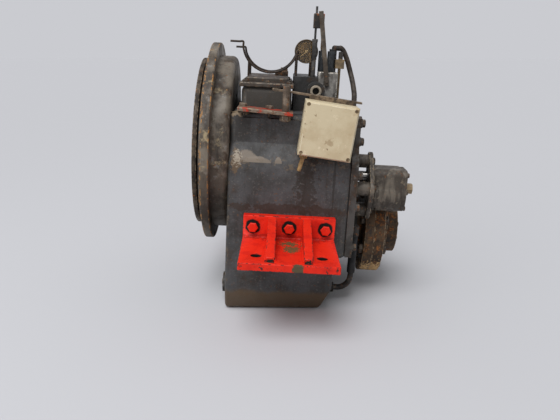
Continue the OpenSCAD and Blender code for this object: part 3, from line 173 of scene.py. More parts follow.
# name, colour or the panel's name for it, shade, roughness, metal, dust, grain and relief,
# then spots with their colour, centre, reach and raggedness
PLAIN = (
    ("rubber", "rubber", (22, 22, 23), (0.55, 0.75), 0.0, (52, 48, 44), 200.0, 0.15),
    ("hose_brown", (58, 49, 41), (40, 34, 29), (0.5, 0.7), 0.0, (92, 78, 64), 240.0, 0.15),
    ("gauge_bronze", "bronze", (70, 60, 48), (0.35, 0.55), 0.3, (52, 44, 36), 240.0, 0.15),
    ("gauge_dial", (136, 120, 95), (92, 80, 62), (0.5, 0.7), 0.0, (72, 61, 47), 160.0, 0.15),
    ("dial_mark", (52, 44, 36), (40, 34, 28), (0.5, 0.7), 0.0, None, 160.0, 0.15),
    ("pointer_white", (222, 214, 194), (196, 186, 164), (0.4, 0.6), 0.0, None, 160.0, 0.15),
    ("selector_steel", (84, 82, 80), (48, 46, 45), (0.35, 0.55), 0.3, (134, 118, 98), 300.0, 0.15),
    ("machined_steel", (168, 165, 160), (140, 137, 132), (0.22, 0.38), 1.0, None, 420.0, 0.15),
    ("bearing_steel", (182, 182, 182), (160, 160, 160), (0.15, 0.28), 1.0, None, 420.0, 0.15),
    ("friction_lining", (124, 106, 84), (100, 86, 68), (0.6, 0.8), 0.0, None, 260.0, 0.15),
    ("solenoid_black", (50, 53, 56), (32, 34, 36), (0.34, 0.5), 0.0, (84, 78, 70), 180.0, 0.15,
     ((116, 88, 58), (0.298, -0.060, 0.290), (0.03, 0.03, 0.0185), 0.3)),
    ("switch_tan", (132, 112, 82), (92, 78, 58), (0.45, 0.65), 0.1, (66, 54, 40), 260.0, 0.2,
     ((40, 35, 30), (0.3475, -0.060, 0.264), (0.03, 0.03, 0.0145), 0.3)),
    ("gland_tan", (168, 138, 92), (128, 100, 62), (0.45, 0.65), 0.0, (96, 66, 36), 260.0, 0.2),
    ("anchor_black", (46, 42, 39), (30, 28, 27), (0.4, 0.6), 0.0, (92, 70, 50), 260.0, 0.2,
     ((118, 74, 44), (0.288, -0.088, 0.366), (0.016, 0.03, 0.014), 0.8),
     ((170, 36, 28), (0.292, -0.088, 0.366), (0.006, 0.03, 0.006), 0.4)))


def srgb(red, green, blue):
    """Linear colour from screen values of 0 to 255."""
    out = []
    for value in (red, green, blue):
        v = value / 255
        out.append(v / 12.92 if v <= 0.04045 else ((v + 0.055) / 1.055) ** 2.4)
    return tuple(out)


def colour(label, words, *screen):
    """A colour property with a default given in screen values."""
    return FloatVectorProperty(
        name=label, description=words, subtype="COLOR", size=3, min=0, max=1,
        default=srgb(*screen))


def length(label, words, default):
    """A length property in metres."""
    return FloatProperty(
        name=label, description=words, default=default, min=0, max=1,
        subtype="DISTANCE", unit="LENGTH")


class GearboxSizes(PropertyGroup):
    """Roundings and counts of the fine pieces."""

    case_rounding: length("Case rounding", "Radius of the case's outer edges", 0.013)
    casting_rounding: length("Casting rounding", "Radius of the other castings' edges", 0.003)
    plate_rounding: length("Plate rounding", "Radius of the bracket and plate edges", 0.0018)
    trim_rounding: length("Trim rounding", "Radius of the small pieces' edges", 0.0008)
    bolt_chamfer: FloatProperty(
        name="Bolt chamfer", description="Share of a bolt head that is chamfered",
        default=0.16, min=0.02, max=0.4, subtype="FACTOR")
    tube_sides: IntProperty(
        name="Tube sides", description="Sides of the hoses and rods", default=20, min=8, max=48)
    dial_marks: IntProperty(
        name="Dial marks", description="Marks on the gauge's dial", default=28, min=7, max=61)


class GearboxColours(PropertyGroup):
    """Main colours of the finishes."""

    case_paint: colour("Case paint", "Dark paint of the case", 76, 76, 77)
    case_shade: colour("Case shade", "Darker paint of the case", 60, 59, 58)
    oil_brown: colour("Oily brown", "Baked oil and dust", 58, 44, 31)
    bell_metal: colour("Bell metal", "Worn iron of the bell", 114, 105, 93)
    bracket_red: colour("Bracket red", "Paint of the brackets", 218, 40, 20)
    enamel: colour("Enamel", "Enamel of the junction box", 198, 184, 154)
    rust_dark: colour("Dark rust", "Old rust", 74, 50, 34)
    rust_light: colour("Light rust", "Fresh rust", 158, 96, 44)
    alloy: colour("Alloy", "Light metal of the valve body", 138, 135, 130)
    rubber: colour("Rubber", "Black rubber", 30, 30, 31)
    bronze: colour("Bronze", "Metal of the gauge", 92, 78, 60)


class GearboxStage(PropertyGroup):
    """Camera, floor and light."""

    lens: FloatProperty(
        name="Lens", description="Focal length of the camera in millimetres", default=38.443,
        min=10, max=200)
    floor: colour("Floor", "Colour of the floor and the background", 202, 203, 208)
    ambient: FloatProperty(
        name="Ambient", description="Strength of the light from all around", default=0.5,
        min=0, max=4)
    key: FloatProperty(
        name="Key", description="Strength of the main lamp", default=2.3, min=0, max=20)
    fill: FloatProperty(
        name="Fill", description="Power of the side lamp in watts", default=9, min=0, max=400,
        subtype="POWER", unit="POWER")


def plug(tree, value, socket):
    """Links a socket to another, or sets its value."""
    if isinstance(value, bpy.types.NodeSocket):
        tree.links.new(value, socket)
    elif socket.type == "RGBA":
        socket.default_value = (*tuple(value)[:3], 1)
    else:
        socket.default_value = value


def add(tree, kind, settings=None, **inputs):
    """A new node with its settings and inputs, whose names have spaces for underscores."""
    node = tree.nodes.new(kind)
    for key, value in (settings or {}).items():
        setattr(node, key, value)
    for key, value in inputs.items():
        plug(tree, value, node.inputs[key.replace("_", " ")])
    return node


def maths(tree, operation, *values):
    """The result of a Math node."""
    node = add(tree, "ShaderNodeMath", {"operation": operation})
    for socket, value in zip(node.inputs, values):
        plug(tree, value, socket)
    return node.outputs[0]


def vectors(tree, operation, *values):
    """The result of a Vector Math node, a number for LENGTH."""
    node = add(tree, "ShaderNodeVectorMath", {"operation": operation})
    for socket, value in zip(node.inputs, values):
        plug(tree, value, socket)
    return node.outputs["Value" if operation == "LENGTH" else "Vector"]


def blend(tree, mask, first, second):
    """First colour where the mask is 0, second where it is 1."""
    node = add(tree, "ShaderNodeMix", {"data_type": "RGBA"})
    for index, value in ((0, mask), (6, first), (7, second)):
        plug(tree, value, node.inputs[index])
    return node.outputs[2]


def ramp(tree, value, low, high, to_low=0.0, to_high=1.0):
    """A smooth step of a value between two limits."""
    node = add(tree, "ShaderNodeMapRange", {"interpolation_type": "SMOOTHSTEP"},
               From_Min=low, From_Max=high, To_Min=to_low, To_Max=to_high)
    plug(tree, value, node.inputs["Value"])
    return node.outputs["Result"]


def noise(tree, vector, scale, detail=5.0, rough=0.6):
    """A noise value around a half, spread over about 0 to 1."""
    value = add(tree, "ShaderNodeTexNoise", Vector=vector, Scale=scale, Detail=detail,
                Roughness=rough).outputs[0]
    return maths(tree, "MULTIPLY_ADD", value, NOISE_GAIN, NOISE_SHIFT)


def shader_group(name, inputs, outputs):
    """An empty shader group with its sockets, and its two ends."""
    tree = bpy.data.node_groups.new(name, "ShaderNodeTree")
    for label, kind, value in inputs:
        socket = tree.interface.new_socket(
            label, in_out="INPUT", socket_type="NodeSocket" + kind)
        if value is not None:
            socket.default_value = value
    for label, kind in outputs:
        tree.interface.new_socket(label, in_out="OUTPUT", socket_type="NodeSocket" + kind)
    given = tree.nodes.new("NodeGroupInput").outputs
    result = tree.nodes.new("NodeGroupOutput").inputs
    return tree, given, result


RANGE_INPUTS = [("Vector", "Vector", None), ("Scale", "Float", 30.0), ("From", "Float", 0.4),
                ("To", "Float", 0.6)]


def build_mottle():
    """Cloudy blotches."""
    tree, given, result = shader_group("Mottle", RANGE_INPUTS, [("Mask", "Float")])
    value = noise(tree, given["Vector"], given["Scale"], 8.0, 0.66)
    plug(tree, ramp(tree, value, given["From"], given["To"]), result["Mask"])


def build_streaks():
    """Marks that run down a wall."""
    tree, given, result = shader_group("Streaks", RANGE_INPUTS, [("Mask", "Float")])
    stretched = vectors(tree, "MULTIPLY", given["Vector"], (1.0, 1.0, 0.07))
    fine = noise(tree, stretched, given["Scale"], 5.0, 0.6)
    broad = noise(tree, given["Vector"], 9.0, 4.0, 0.55)
    value = maths(tree, "MULTIPLY_ADD", broad, 0.45, maths(tree, "MULTIPLY", fine, 0.55))
    plug(tree, ramp(tree, value, given["From"], given["To"]), result["Mask"])


def build_edge_wear_and_highlight():
    """Chips on the edges, with a few on the faces; some finishes use it for a painted highlight on
    the edges too.
    """
    tree, given, result = shader_group(
        "Edge wear", [("Vector", "Vector", None), ("Edge", "Float", 0.0),
                      ("Scale", "Float", 90.0), ("Amount", "Float", 0.4)], [("Mask", "Float")])
    value = noise(tree, given["Vector"], given["Scale"], 6.0, 0.68)
    worn = maths(tree, "MULTIPLY_ADD", given["Edge"], given["Amount"], value)
    plug(tree, ramp(tree, worn, 0.94, 1.02), result["Mask"])


def build_rust():
    """Two-tone rust and its mask."""
    tree, given, result = shader_group(
        "Rust", RANGE_INPUTS + [("Dark", "Color", (0, 0, 0, 1)), ("Light", "Color", (1, 1, 1, 1))],
        [("Color", "Color"), ("Mask", "Float")])
    cover = noise(tree, given["Vector"], given["Scale"], 9.0, 0.7)
    fine = noise(tree, given["Vector"], maths(tree, "MULTIPLY", given["Scale"], 3.1), 6.0, 0.65)
    tone = blend(tree, ramp(tree, fine, 0.4, 0.8), given["Dark"], given["Light"])
    plug(tree, tone, result["Color"])
    plug(tree, ramp(tree, cover, given["From"], given["To"]), result["Mask"])


def build_patch():
    """One ragged patch around a point, cut off below a level."""
    tree, given, result = shader_group(
        "Patch", [("Vector", "Vector", None), ("Centre", "Vector", None),
                  ("Reach", "Vector", None), ("Scale", "Float", 40.0),
                  ("Ragged", "Float", 0.5), ("Above", "Float", -9.0)], [("Mask", "Float")])
    offset = vectors(tree, "SUBTRACT", given["Vector"], given["Centre"])
    away = vectors(tree, "LENGTH", vectors(tree, "DIVIDE", offset, given["Reach"]))
    rough = maths(tree, "SUBTRACT", noise(tree, given["Vector"], given["Scale"], 7.0, 0.68), 0.5)
    far = maths(tree, "MULTIPLY_ADD", rough, given["Ragged"], away)
    inside = ramp(tree, far, 1.06, 0.90)
    height = add(tree, "ShaderNodeSeparateXYZ", Vector=given["Vector"]).outputs["Z"]
    cut = maths(tree, "GREATER_THAN", height, given["Above"])
    plug(tree, maths(tree, "MULTIPLY", inside, cut), result["Mask"])


class Finish:
    """One material, built layer by layer on Object coordinates."""

    def __init__(self, name, base, shade, scale=14.0, spread=(0.3, 0.7), rough=(0.5, 0.66),
                 metal=0.0, gloss=0.25):
        self.material = bpy.data.materials.new("finish_" + name)
        self.material.use_nodes = True
        self.tree = self.material.node_tree
        self.shader = self.tree.nodes["Principled BSDF"]
        self.shader.inputs["Specular IOR Level"].default_value = gloss
        self.where = add(self.tree, "ShaderNodeTexCoord").outputs["Object"]
        mask = self.group("Mottle", Scale=scale, From=spread[0], To=spread[1]).outputs["Mask"]
        self.colour = blend(self.tree, mask, base, shade)
        self.rough = ramp(self.tree, mask, 0.0, 1.0, rough[0], rough[1])
        self.metal = metal
        self.height = None

    def group(self, name, **inputs):
        """A shader group on the material's coordinates."""
        node = add(self.tree, "ShaderNodeGroup", {"node_tree": bpy.data.node_groups[name]})
        for key, value in {"Vector": self.where, **inputs}.items():
            plug(self.tree, value, node.inputs[key])
        return node

    def layer(self, mask, tint, rough=None, metal=None, strength=1.0):
        """Lays a colour over what is there, with its roughness and metal where given."""
        if strength < 1:
            mask = maths(self.tree, "MULTIPLY", mask, strength)
        self.colour = blend(self.tree, mask, self.colour, tint)
        if rough is not None:
            self.rough = self.towards(self.rough, mask, rough)
        if metal is not None:
            self.metal = self.towards(self.metal, mask, metal)

    def towards(self, value, mask, goal):
        """A number that goes to another one where the mask is 1."""
        node = add(self.tree, "ShaderNodeMix", {"data_type": "FLOAT"})
        for index, item in ((0, mask), (2, value), (3, goal)):
            plug(self.tree, item, node.inputs[index])
        return node.outputs[0]

    def mottle(self, tint, scale, low, high, **more):
        """Cloudy blotches of a colour."""
        node = self.group("Mottle", Scale=scale, From=low, To=high)
        self.layer(node.outputs["Mask"], tint, **more)

    def streaks(self, tint, scale, low, high, **more):
        """Run marks of a colour."""
        node = self.group("Streaks", Scale=scale, From=low, To=high)
        self.layer(node.outputs["Mask"], tint, **more)

    def rust(self, tone, scale, low, high, strength):
        """Two-tone rust that stands a little proud."""
        node = self.group("Rust", Scale=scale, From=low, To=high, Dark=tone.rust_dark,
                          Light=tone.rust_light)
        self.height = node.outputs["Mask"]
        self.layer(self.height, node.outputs["Color"], RUST_ROUGH, 0.0, strength)

    def patch(self, tint, centre, reach, scale=40.0, ragged=0.5, above=-9.0, **more):
        """One ragged spot of a colour."""
        node = self.group("Patch", Centre=centre, Reach=reach, Scale=scale, Ragged=ragged,
                          Above=above)
        self.layer(node.outputs["Mask"], tint, **more)

    def worn(self, tint, scale=90.0, amount=0.4, rough=0.45, metal=0.3, strength=1.0):
        """Chips along the rounded edges, in some finishes also a painted highlight along them."""
        edge = add(self.tree, "ShaderNodeAttribute", {"attribute_name": "edge"}).outputs["Fac"]
        node = self.group("Edge wear", Edge=edge, Scale=scale, Amount=amount)
        self.layer(node.outputs["Mask"], tint, rough, metal, strength)

    def done(self, grain, relief):
        """Adds the fine relief and joins all to the shader."""
        tree = self.tree
        value = noise(tree, self.where, grain, 4.0, 0.6)
        if self.height is not None:
            value = maths(tree, "MULTIPLY_ADD", self.height, 0.5, value)
        bump = add(tree, "ShaderNodeBump", Strength=relief, Distance=BUMP_DEPTH, Height=value)
        plug(tree, bump.outputs["Normal"], self.shader.inputs["Normal"])
        plug(tree, self.colour, self.shader.inputs["Base Color"])
        plug(tree, self.rough, self.shader.inputs["Roughness"])
        plug(tree, self.metal, self.shader.inputs["Metallic"])


def finish_case(tone):
    """Dark paint with baked oil, run marks, bare corners, rounded edges lightened by chips and a
    painted highlight, and a brown pan.
    """
    made = Finish("case_paint", tone.case_paint, tone.case_shade, 9.0, (0.25, 0.8), (0.5, 0.66))
    made.mottle(srgb(92, 92, 94), 22.0, 0.58, 0.95, strength=0.5)
    made.streaks(srgb(52, 49, 46), 60.0, 0.52, 0.72, rough=0.55, strength=0.5)
    made.mottle(tone.oil_brown, 15.0, 0.58, 0.95, rough=0.7, strength=0.5)
    made.mottle(srgb(108, 104, 99), 190.0, 0.68, 0.88, strength=0.5)
    made.mottle(srgb(44, 40, 37), 150.0, 0.66, 0.84, strength=0.5)
    made.mottle(srgb(104, 72, 46), 110.0, 0.78, 0.90, rough=0.8, strength=0.7)
    made.patch(srgb(92, 74, 54), (0.2, 0, -0.467), (2, 2, 0.112), 24.0, 0.12, strength=0.8)
    made.patch(srgb(72, 67, 61), (0.15, -0.152, 0.14), (0.08, 0.01, 0.04), 30.0, 0.6, strength=0.7)
    made.patch(srgb(54, 41, 32), (0.235, -0.24, -0.126), (0.18, 0.05, 0.011), 44.0, 1.7,
               strength=0.65)
    made.patch(srgb(48, 40, 33), (0.268, -0.24, -0.070), (0.024, 0.06, 0.075), 95.0, 2.3,
               strength=0.65)
    made.patch(srgb(48, 44, 40), (0.338, -0.24, -0.06), (0.0032, 0.06, 0.075), 70.0, 0.8,
               strength=0.65)
    for x, across, tall in ((0.113, 0.034, 0.030), (0.139, 0.034, 0.017), (0.194, 0.009, 0.017)):
        made.patch(srgb(120, 109, 97), (x, -0.232, -0.0115), (across, 0.06, tall), 26.0, 0.3,
                   -0.0105, rough=0.45, strength=0.8)
    made.patch(srgb(94, 79, 63), (0.087, -0.232, -0.008), (0.013, 0.05, 0.030), 80.0, 1.5)
    made.patch(srgb(156, 145, 129), (0.089, -0.232, -0.002), (0.008, 0.05, 0.016), 190.0, 3.0,
               rough=0.45, strength=0.8)
    made.patch(srgb(128, 112, 92), (0.084, -0.205, 0.110), (0.026, 0.03, 0.010), 90.0, 1.6)
    # lighter rounded edges: chipped paint, and a painted highlight along the rounded edges
    made.worn(srgb(104, 92, 78), 60.0, 0.30, strength=0.7)
    made.done(260.0, 0.22)


def finish_bell(tone):
    """Worn iron with pale, brown and oily clouds."""
    made = Finish("bell_iron", tone.bell_metal, srgb(76, 68, 60), 9.0, (0.3, 0.75),
                  (0.45, 0.62), 0.0, 0.35)
    made.streaks(srgb(46, 41, 36), 55.0, 0.52, 0.70, rough=0.6, strength=0.7)
    made.mottle(srgb(170, 152, 118), 17.0, 0.64, 0.86, rough=0.45, strength=0.75)
    made.mottle(tone.oil_brown, 21.0, 0.55, 0.78, rough=0.7, strength=0.8)
    made.mottle(srgb(132, 130, 128), 48.0, 0.72, 0.92, rough=0.4, strength=0.5)
    made.rust(tone, 75.0, 0.74, 0.86, 0.8)
    made.patch(srgb(56, 46, 36), (0.03, -0.05, -0.25), (0.4, 0.5, 0.22), 12.0, 0.9,
               rough=0.6, strength=0.6)
    made.worn(srgb(168, 122, 70), 70.0, 0.42, rough=0.6, strength=0.85)
    made.done(240.0, 0.3)


def finish_cover(tone, name, base, shade, rust):
    """Dark cast covers with brown dirt."""
    made = Finish(name, srgb(*base), srgb(*shade), 18.0, (0.3, 0.75), (0.45, 0.64), 0.05, 0.35)
    made.mottle(tone.oil_brown, 26.0, 0.52, 0.80, rough=0.7, strength=0.8)
    made.mottle(srgb(112, 108, 104), 60.0, 0.74, 0.92, rough=0.45, strength=0.6)
    made.rust(tone, 80.0, rust, rust + 0.12, 0.85)
    made.worn(srgb(118, 106, 92), 80.0, 0.42, strength=0.85)
    made.done(280.0, 0.3)


def finish_bracket(tone, name, chips):
    """Bright red paint, chipped on its edges, with bare patches, foot holes dark inside, and painted
    shade at the foot of the wall plate.
    """
    made = Finish(name, tone.bracket_red, srgb(198, 30, 16), 22.0, (0.4, 0.85), (0.42, 0.55),
                  0.0, 0.2)
    made.mottle(srgb(168, 26, 16), 46.0, 0.66, 0.86, strength=0.55)
    made.mottle(srgb(240, 88, 62), 70.0, 0.78, 0.92, strength=0.4)
    made.mottle(srgb(66, 50, 36), 130.0, 0.88, 0.92, rough=0.8)
    for side in (-1, 1):
        for x in (0.138, 0.2305, 0.323):
            made.patch(srgb(24, 22, 20), (x, side * 0.262, -0.171), (0.0195, 0.012, 0.0195),
                       90.0, 0.22, rough=0.6)
        # the insides of the foot holes coloured near-black
        for x in (0.1525, 0.3085):
            made.patch(srgb(20, 18, 16), (x, side * 0.399, -0.2095), (0.030, 0.030, 0.0088),
                       60.0, 0.0, rough=0.8)
        for x, y, across, along in ((0.232, 0.303, 0.024, 0.017), (0.237, 0.342, 0.019, 0.024)):
            made.patch(srgb(100, 78, 48), (x, side * y, -0.2), (across, along, 0.03), 110.0, 2.4,
                       rough=0.8)
        made.patch(srgb(84, 72, 54), (0.251, side * 0.457, -0.21), (0.012, 0.012, 0.03), 100.0,
                   0.9, rough=0.8)
        for x, across in ((0.118, 0.004), (0.166, 0.005), (0.317, 0.006), (0.339, 0.004)):
            made.patch(srgb(36, 40, 36), (x, side * 0.460, -0.209), (across, 0.005, 0.012), 150.0,
                       1.8, rough=0.7)
        for x in (0.1865, 0.2745):
            made.patch(srgb(38, 38, 33), (x, side * 0.440, -0.199), (0.011, 0.006, 0.006), 140.0,
                       1.8, rough=0.7)
        # painted shade: a darker red band along the foot of the wall plate, in the corner where it
        # meets the foot
        made.patch(srgb(150, 30, 20), (0.2305, side * 0.262, -0.196), (0.12, 0.03, 0.006), 80.0,
                   1.4, strength=0.7)
    made.worn(srgb(38, 40, 36), 110.0, chips, rough=0.75, metal=0.0, strength=0.95)
    made.done(200.0, 0.15)


def finish_enamel(tone):
    """Aged enamel with small brown spots, and near-white edges that are partly rubbed enamel and
    partly painted highlight.
    """
    made = Finish("box_enamel", tone.enamel, srgb(184, 167, 136), 12.0, (0.3, 0.8), (0.4, 0.52))
    made.mottle(srgb(170, 146, 110), 26.0, 0.68, 0.95, strength=0.5)
    made.mottle(srgb(224, 210, 182), 60.0, 0.74, 0.9, strength=0.5)
    made.mottle(srgb(112, 88, 60), 85.0, 0.87, 0.95, rough=0.7, strength=0.8)
    made.patch(srgb(138, 112, 80), (0.315, -0.30, 0.058), (0.010, 0.03, 0.006), 160.0, 3.0,
               strength=0.5)
    # near-white edges: rubbed enamel and a painted highlight on the lid and box edges
    made.worn(srgb(232, 224, 206), 30.0, 0.5, rough=0.45, metal=0.0, strength=0.7)
    made.done(160.0, 0.1)


def finish_rusty(tone, name, base, shade, red, bare):
    """Rusted steel, with remains of red paint where red is set."""
    made = Finish(name, srgb(*base), srgb(*shade), 34.0, (0.3, 0.72), (0.5, 0.7), 0.15, 0.35)
    made.rust(tone, 48.0, bare, bare + 0.16, 0.85)
    if red:
        made.mottle(srgb(176, 52, 30), 34.0, 0.50, 0.60, rough=0.5, strength=red)
    made.mottle(srgb(44, 36, 30), 32.0, 0.60, 0.80, rough=0.7, strength=0.75)
    made.worn(srgb(156, 138, 116), 80.0, 0.42, strength=0.8)
    made.done(380.0, 0.4)


def finish_flange(tone):
    """Heavily rusted flanges with flecks, pale flakes and oily patches."""
    made = Finish("flange_rust", srgb(84, 64, 44), srgb(52, 43, 35), 30.0, (0.3, 0.75),
                  (0.55, 0.75), 0.1, 0.3)
    made.rust(tone, 52.0, 0.52, 0.70, 0.9)
    made.mottle(srgb(44, 39, 35), 24.0, 0.55, 0.72, rough=0.5, strength=0.85)
    made.mottle(srgb(160, 104, 48), 110.0, 0.78, 0.88, rough=0.85, strength=0.8)
    made.patch(srgb(196, 160, 112), (0.49, -0.10, -0.335), (0.05, 0.08, 0.022), 150.0, 3.2,
               rough=0.85)
    made.worn(srgb(158, 138, 112), 120.0, 0.48, strength=0.9)
    made.done(340.0, 0.45)


def finish_bolt(tone, name, base, shade, light, grain, *ports):
    """Dark steel bolts and fittings with rust, and pale ports where given."""
    made = Finish(name, srgb(*base), srgb(*shade), 70.0, (0.3, 0.72), (0.45, 0.65), 0.25, 0.4)
    made.rust(tone, 120.0, 0.58, 0.76, 0.75)
    made.mottle(srgb(*light), 100.0, 0.66, 0.84, rough=0.4, strength=0.75)
    made.worn(srgb(*light), 120.0, 0.42, strength=0.8)
    for tint, centre, reach in ports:
        made.patch(srgb(*tint), centre, reach, 60.0, 0.1, rough=0.35, metal=0.5)
    made.done(grain, 0.3)


def finish_pump(tone):
    """Stained grey-brown iron of the pump."""
    made = Finish("pump_iron", srgb(100, 92, 82), srgb(62, 56, 50), 20.0, (0.3, 0.75),
                  (0.45, 0.62), 0.0, 0.35)
    made.streaks(srgb(52, 45, 38), 70.0, 0.50, 0.68, rough=0.6, strength=0.75)
    made.mottle(srgb(54, 47, 41), 30.0, 0.58, 0.78, rough=0.6, strength=0.8)
    made.mottle(srgb(138, 125, 105), 44.0, 0.70, 0.90, rough=0.45, strength=0.6)
    made.rust(tone, 95.0, 0.72, 0.86, 0.75)
    made.patch(srgb(150, 128, 96), (0.55, -0.1414, -0.078), (0.017, 0.03, 0.03), 90.0, 0.1,
               strength=0.85)
    made.worn(srgb(160, 146, 124), 90.0, 0.42, strength=0.9)
    made.done(280.0, 0.3)


def finish_alloy(tone):
    """Stained light alloy."""
    made = Finish("valve_alloy", tone.alloy, srgb(98, 95, 91), 24.0, (0.3, 0.75), (0.42, 0.58),
                  0.0, 0.4)
    made.streaks(srgb(52, 47, 42), 80.0, 0.50, 0.66, rough=0.6, strength=0.8)
    made.mottle(srgb(48, 42, 36), 36.0, 0.62, 0.80, rough=0.6, strength=0.8)
    made.mottle(srgb(168, 164, 156), 70.0, 0.76, 0.9, rough=0.4, strength=0.6)
    made.worn(srgb(176, 170, 160), 90.0, 0.45)
    made.done(300.0, 0.25)


def finish_oily(tone):
    """Near-black oily iron of the valve block."""
    made = Finish("valve_iron", srgb(54, 53, 52), srgb(36, 35, 34), 24.0, (0.3, 0.75), (0.42, 0.6),
                  0.0, 0.35)
    made.mottle(tone.oil_brown, 34.0, 0.62, 0.86, rough=0.7, strength=0.7)
    made.mottle(srgb(84, 84, 86), 60.0, 0.76, 0.92, rough=0.45, strength=0.6)
    made.worn(srgb(108, 100, 90), 90.0, 0.40)
    made.done(300.0, 0.3)


def finish_plain(tone, name, base, shade, rough, metal, dust, grain, relief, *spots):
    """A rubber, plastic or machined metal with a faint cloud, dust and spots."""
    base = getattr(tone, base) if isinstance(base, str) else srgb(*base)
    made = Finish(name, base, srgb(*shade), 40.0, (0.3, 0.75), rough, metal,
                  0.5 if metal else 0.35)
    if dust:
        made.mottle(srgb(*dust), 70.0, 0.60, 0.90, rough=0.85, strength=0.6)
        made.worn(srgb(*dust), 110.0, 0.42, rough=rough[1], metal=metal, strength=0.7)
    for tint, centre, reach, ragged in spots:
        made.patch(srgb(*tint), centre, reach, 90.0, ragged)
    made.done(grain, relief)


def finish_lens():
    """Dull, slightly brown glass of the gauge."""
    glass = bpy.data.materials.new("finish_gauge_glass")
    glass.use_nodes = True
    tree = glass.node_tree
    shader = tree.nodes["Principled BSDF"]
    shader.inputs["Base Color"].default_value = (*srgb(236, 222, 196), 1)
    shader.inputs["Transmission Weight"].default_value = 1.0
    shader.inputs["IOR"].default_value = 1.45
    where = add(tree, "ShaderNodeTexCoord").outputs["Object"]
    smear = noise(tree, where, 90.0, 4.0, 0.6)
    plug(tree, ramp(tree, smear, 0.2, 0.8, 0.04, 0.3), shader.inputs["Roughness"])


def make_finishes():
    """The shader groups, and then every finish."""
    for build in (build_mottle, build_streaks, build_edge_wear_and_highlight, build_rust, build_patch):
        build()
    tone = bpy.context.scene.gearbox_colours
    for finish in (finish_case, finish_bell, finish_enamel, finish_flange, finish_pump,
                   finish_alloy, finish_oily):
        finish(tone)
    for finish, rows in (
            (finish_cover, COVERS), (finish_bracket, (("bracket_red", 0.38), ("bolt_red", 0.5))),
            (finish_rusty, RUSTY), (finish_bolt, BOLTS), (finish_plain, PLAIN)):
        for row in rows:
            finish(tone, *row)
    finish_lens()


def material(name):
    """A finish by name."""
    return bpy.data.materials["finish_" + name]


def new_piece(name, mesh):
    """An object at the origin for a mesh, linked to the scene."""
    piece = bpy.data.objects.new(name, mesh)
    bpy.context.scene.collection.objects.link(piece)
    return piece


def settle(piece):
    """Turns a piece's modifiers into a plain mesh."""
    bpy.context.view_layer.update()
    graph = bpy.context.evaluated_depsgraph_get()
    mesh = bpy.data.meshes.new_from_object(
        piece.evaluated_get(graph), preserve_all_data_layers=True, depsgraph=graph)
    old = piece.data
    piece.modifiers.clear()
    piece.data = mesh
    mesh.name = piece.name
    bpy.data.meshes.remove(old)
    return piece


def place(piece, node, *more):
    """The piece stands for CAD nodes, which it hides, and rides with their body."""
    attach(piece, BODY_OF[node])
    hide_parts(node, *more)


def merged(node):
    """A CAD node's mesh with its triangles joined into flat faces."""
    bm = bmesh.new()
    bm.from_mesh(frame["nodes"][node].data)
    bmesh.ops.remove_doubles(bm, verts=bm.verts, dist=MERGE)
    bmesh.ops.dissolve_limit(
        bm, angle_limit=FLAT, use_dissolve_boundaries=False, verts=bm.verts, edges=bm.edges)
    return bm


def folded(mesh):
    """Whether a large face's own triangles lie over each other."""
    bm = bmesh.new()
    bm.from_mesh(mesh)
    covered = {}
    for corners in bm.calc_loop_triangles():
        face = corners[0].face
        first, second, third = (loop.vert.co for loop in corners)
        covered[face] = covered.get(face, 0.0) + (second - first).cross(third - first).length / 2
    found = any(area - face.calc_area() > FOLDED and len(face.verts) > MANY
                for face, area in covered.items())
    bm.free()
    return found


def even_out(bm, weight):
    """Gives edges that run on from one another the same rounding."""
    uneven = True
    while uneven:
        uneven = False
        for vert in bm.verts:
            pair = [edge for edge in vert.link_edges if edge[weight] > 0]
            if len(pair) == 2 and pair[0][weight] != pair[1][weight]:
                low = min(edge[weight] for edge in pair)
                for edge in pair:
                    edge[weight] = low
                uneven = True


def dress(node, width, finish, segments=2, tries=4):
    """A CAD node with rounded edges and a finish, rounded less where faces would fold."""
    for half in range(tries):
        piece = rounded(node, width / 2 ** half, finish, segments)
        if half == tries - 1 or not folded(piece.data):
            break
        bpy.data.meshes.remove(piece.data)
    mark_edges(piece.data)
    place(piece, node)


def dress_each(rounding, *rows):
    """Dresses nodes, given with their finishes, with one of the panel's roundings."""
    width = getattr(bpy.context.scene.gearbox_sizes, rounding + "_rounding")
    for node, *more in rows:
        dress(node, width, *more)


def rounded(node, width, finish, segments):
    """A copy of a CAD node with rounded edges, whose new faces have the second material slot."""
    bm = merged(node)
    weight = bm.edges.layers.float.new("bevel_weight_edge")
    for edge in bm.edges:
        if len(edge.link_faces) != 2:
            continue
        if edge.calc_face_angle(0) < SHARP:
            continue
        if edge.is_convex:
            edge[weight] = min(1.0, edge.calc_length() / (EDGE_SHARE * width))
        else:
            edge.smooth = False
    even_out(bm, weight)
    for face in bm.faces:
        face.smooth = any(edge.calc_face_angle(SHARP) < SHARP for edge in face.edges)
    mesh = bpy.data.meshes.new(node)
    bm.to_mesh(mesh)
    bm.free()
    mesh.materials.append(material(finish))
    mesh.materials.append(material(finish))
    piece = new_piece(node + "_piece", mesh)
    bevel = piece.modifiers.new("Rounding", "BEVEL")
    bevel.limit_method = "WEIGHT"
    bevel.width = width
    bevel.segments = segments
    bevel.use_clamp_overlap = False
    bevel.material = 1
    return settle(piece)


def mark_edges(mesh):
    """Smooths the faces that the rounding made, and keeps them as the mask for edge wear and painted
    edge highlights.
    """
    count = len(mesh.polygons)
    made = np.zeros(count, dtype=np.int32)
    mesh.polygons.foreach_get("material_index", made)
    smooth = np.zeros(count, dtype=bool)
    mesh.polygons.foreach_get("use_smooth", smooth)
    mesh.polygons.foreach_set("use_smooth", smooth | (made > 0))
    edge = mesh.attributes.new("edge", "FLOAT", "FACE")
    edge.data.foreach_set("value", made.astype(np.float32))
    mesh.polygons.foreach_set("material_index", np.zeros(count, dtype=np.int32))
    mesh.materials.pop(index=1)


def keep(node, finish):
    """A CAD node that stays gets its finish."""
    slots = frame["nodes"][node].data.materials
    slots.clear()
    slots.append(material(finish))


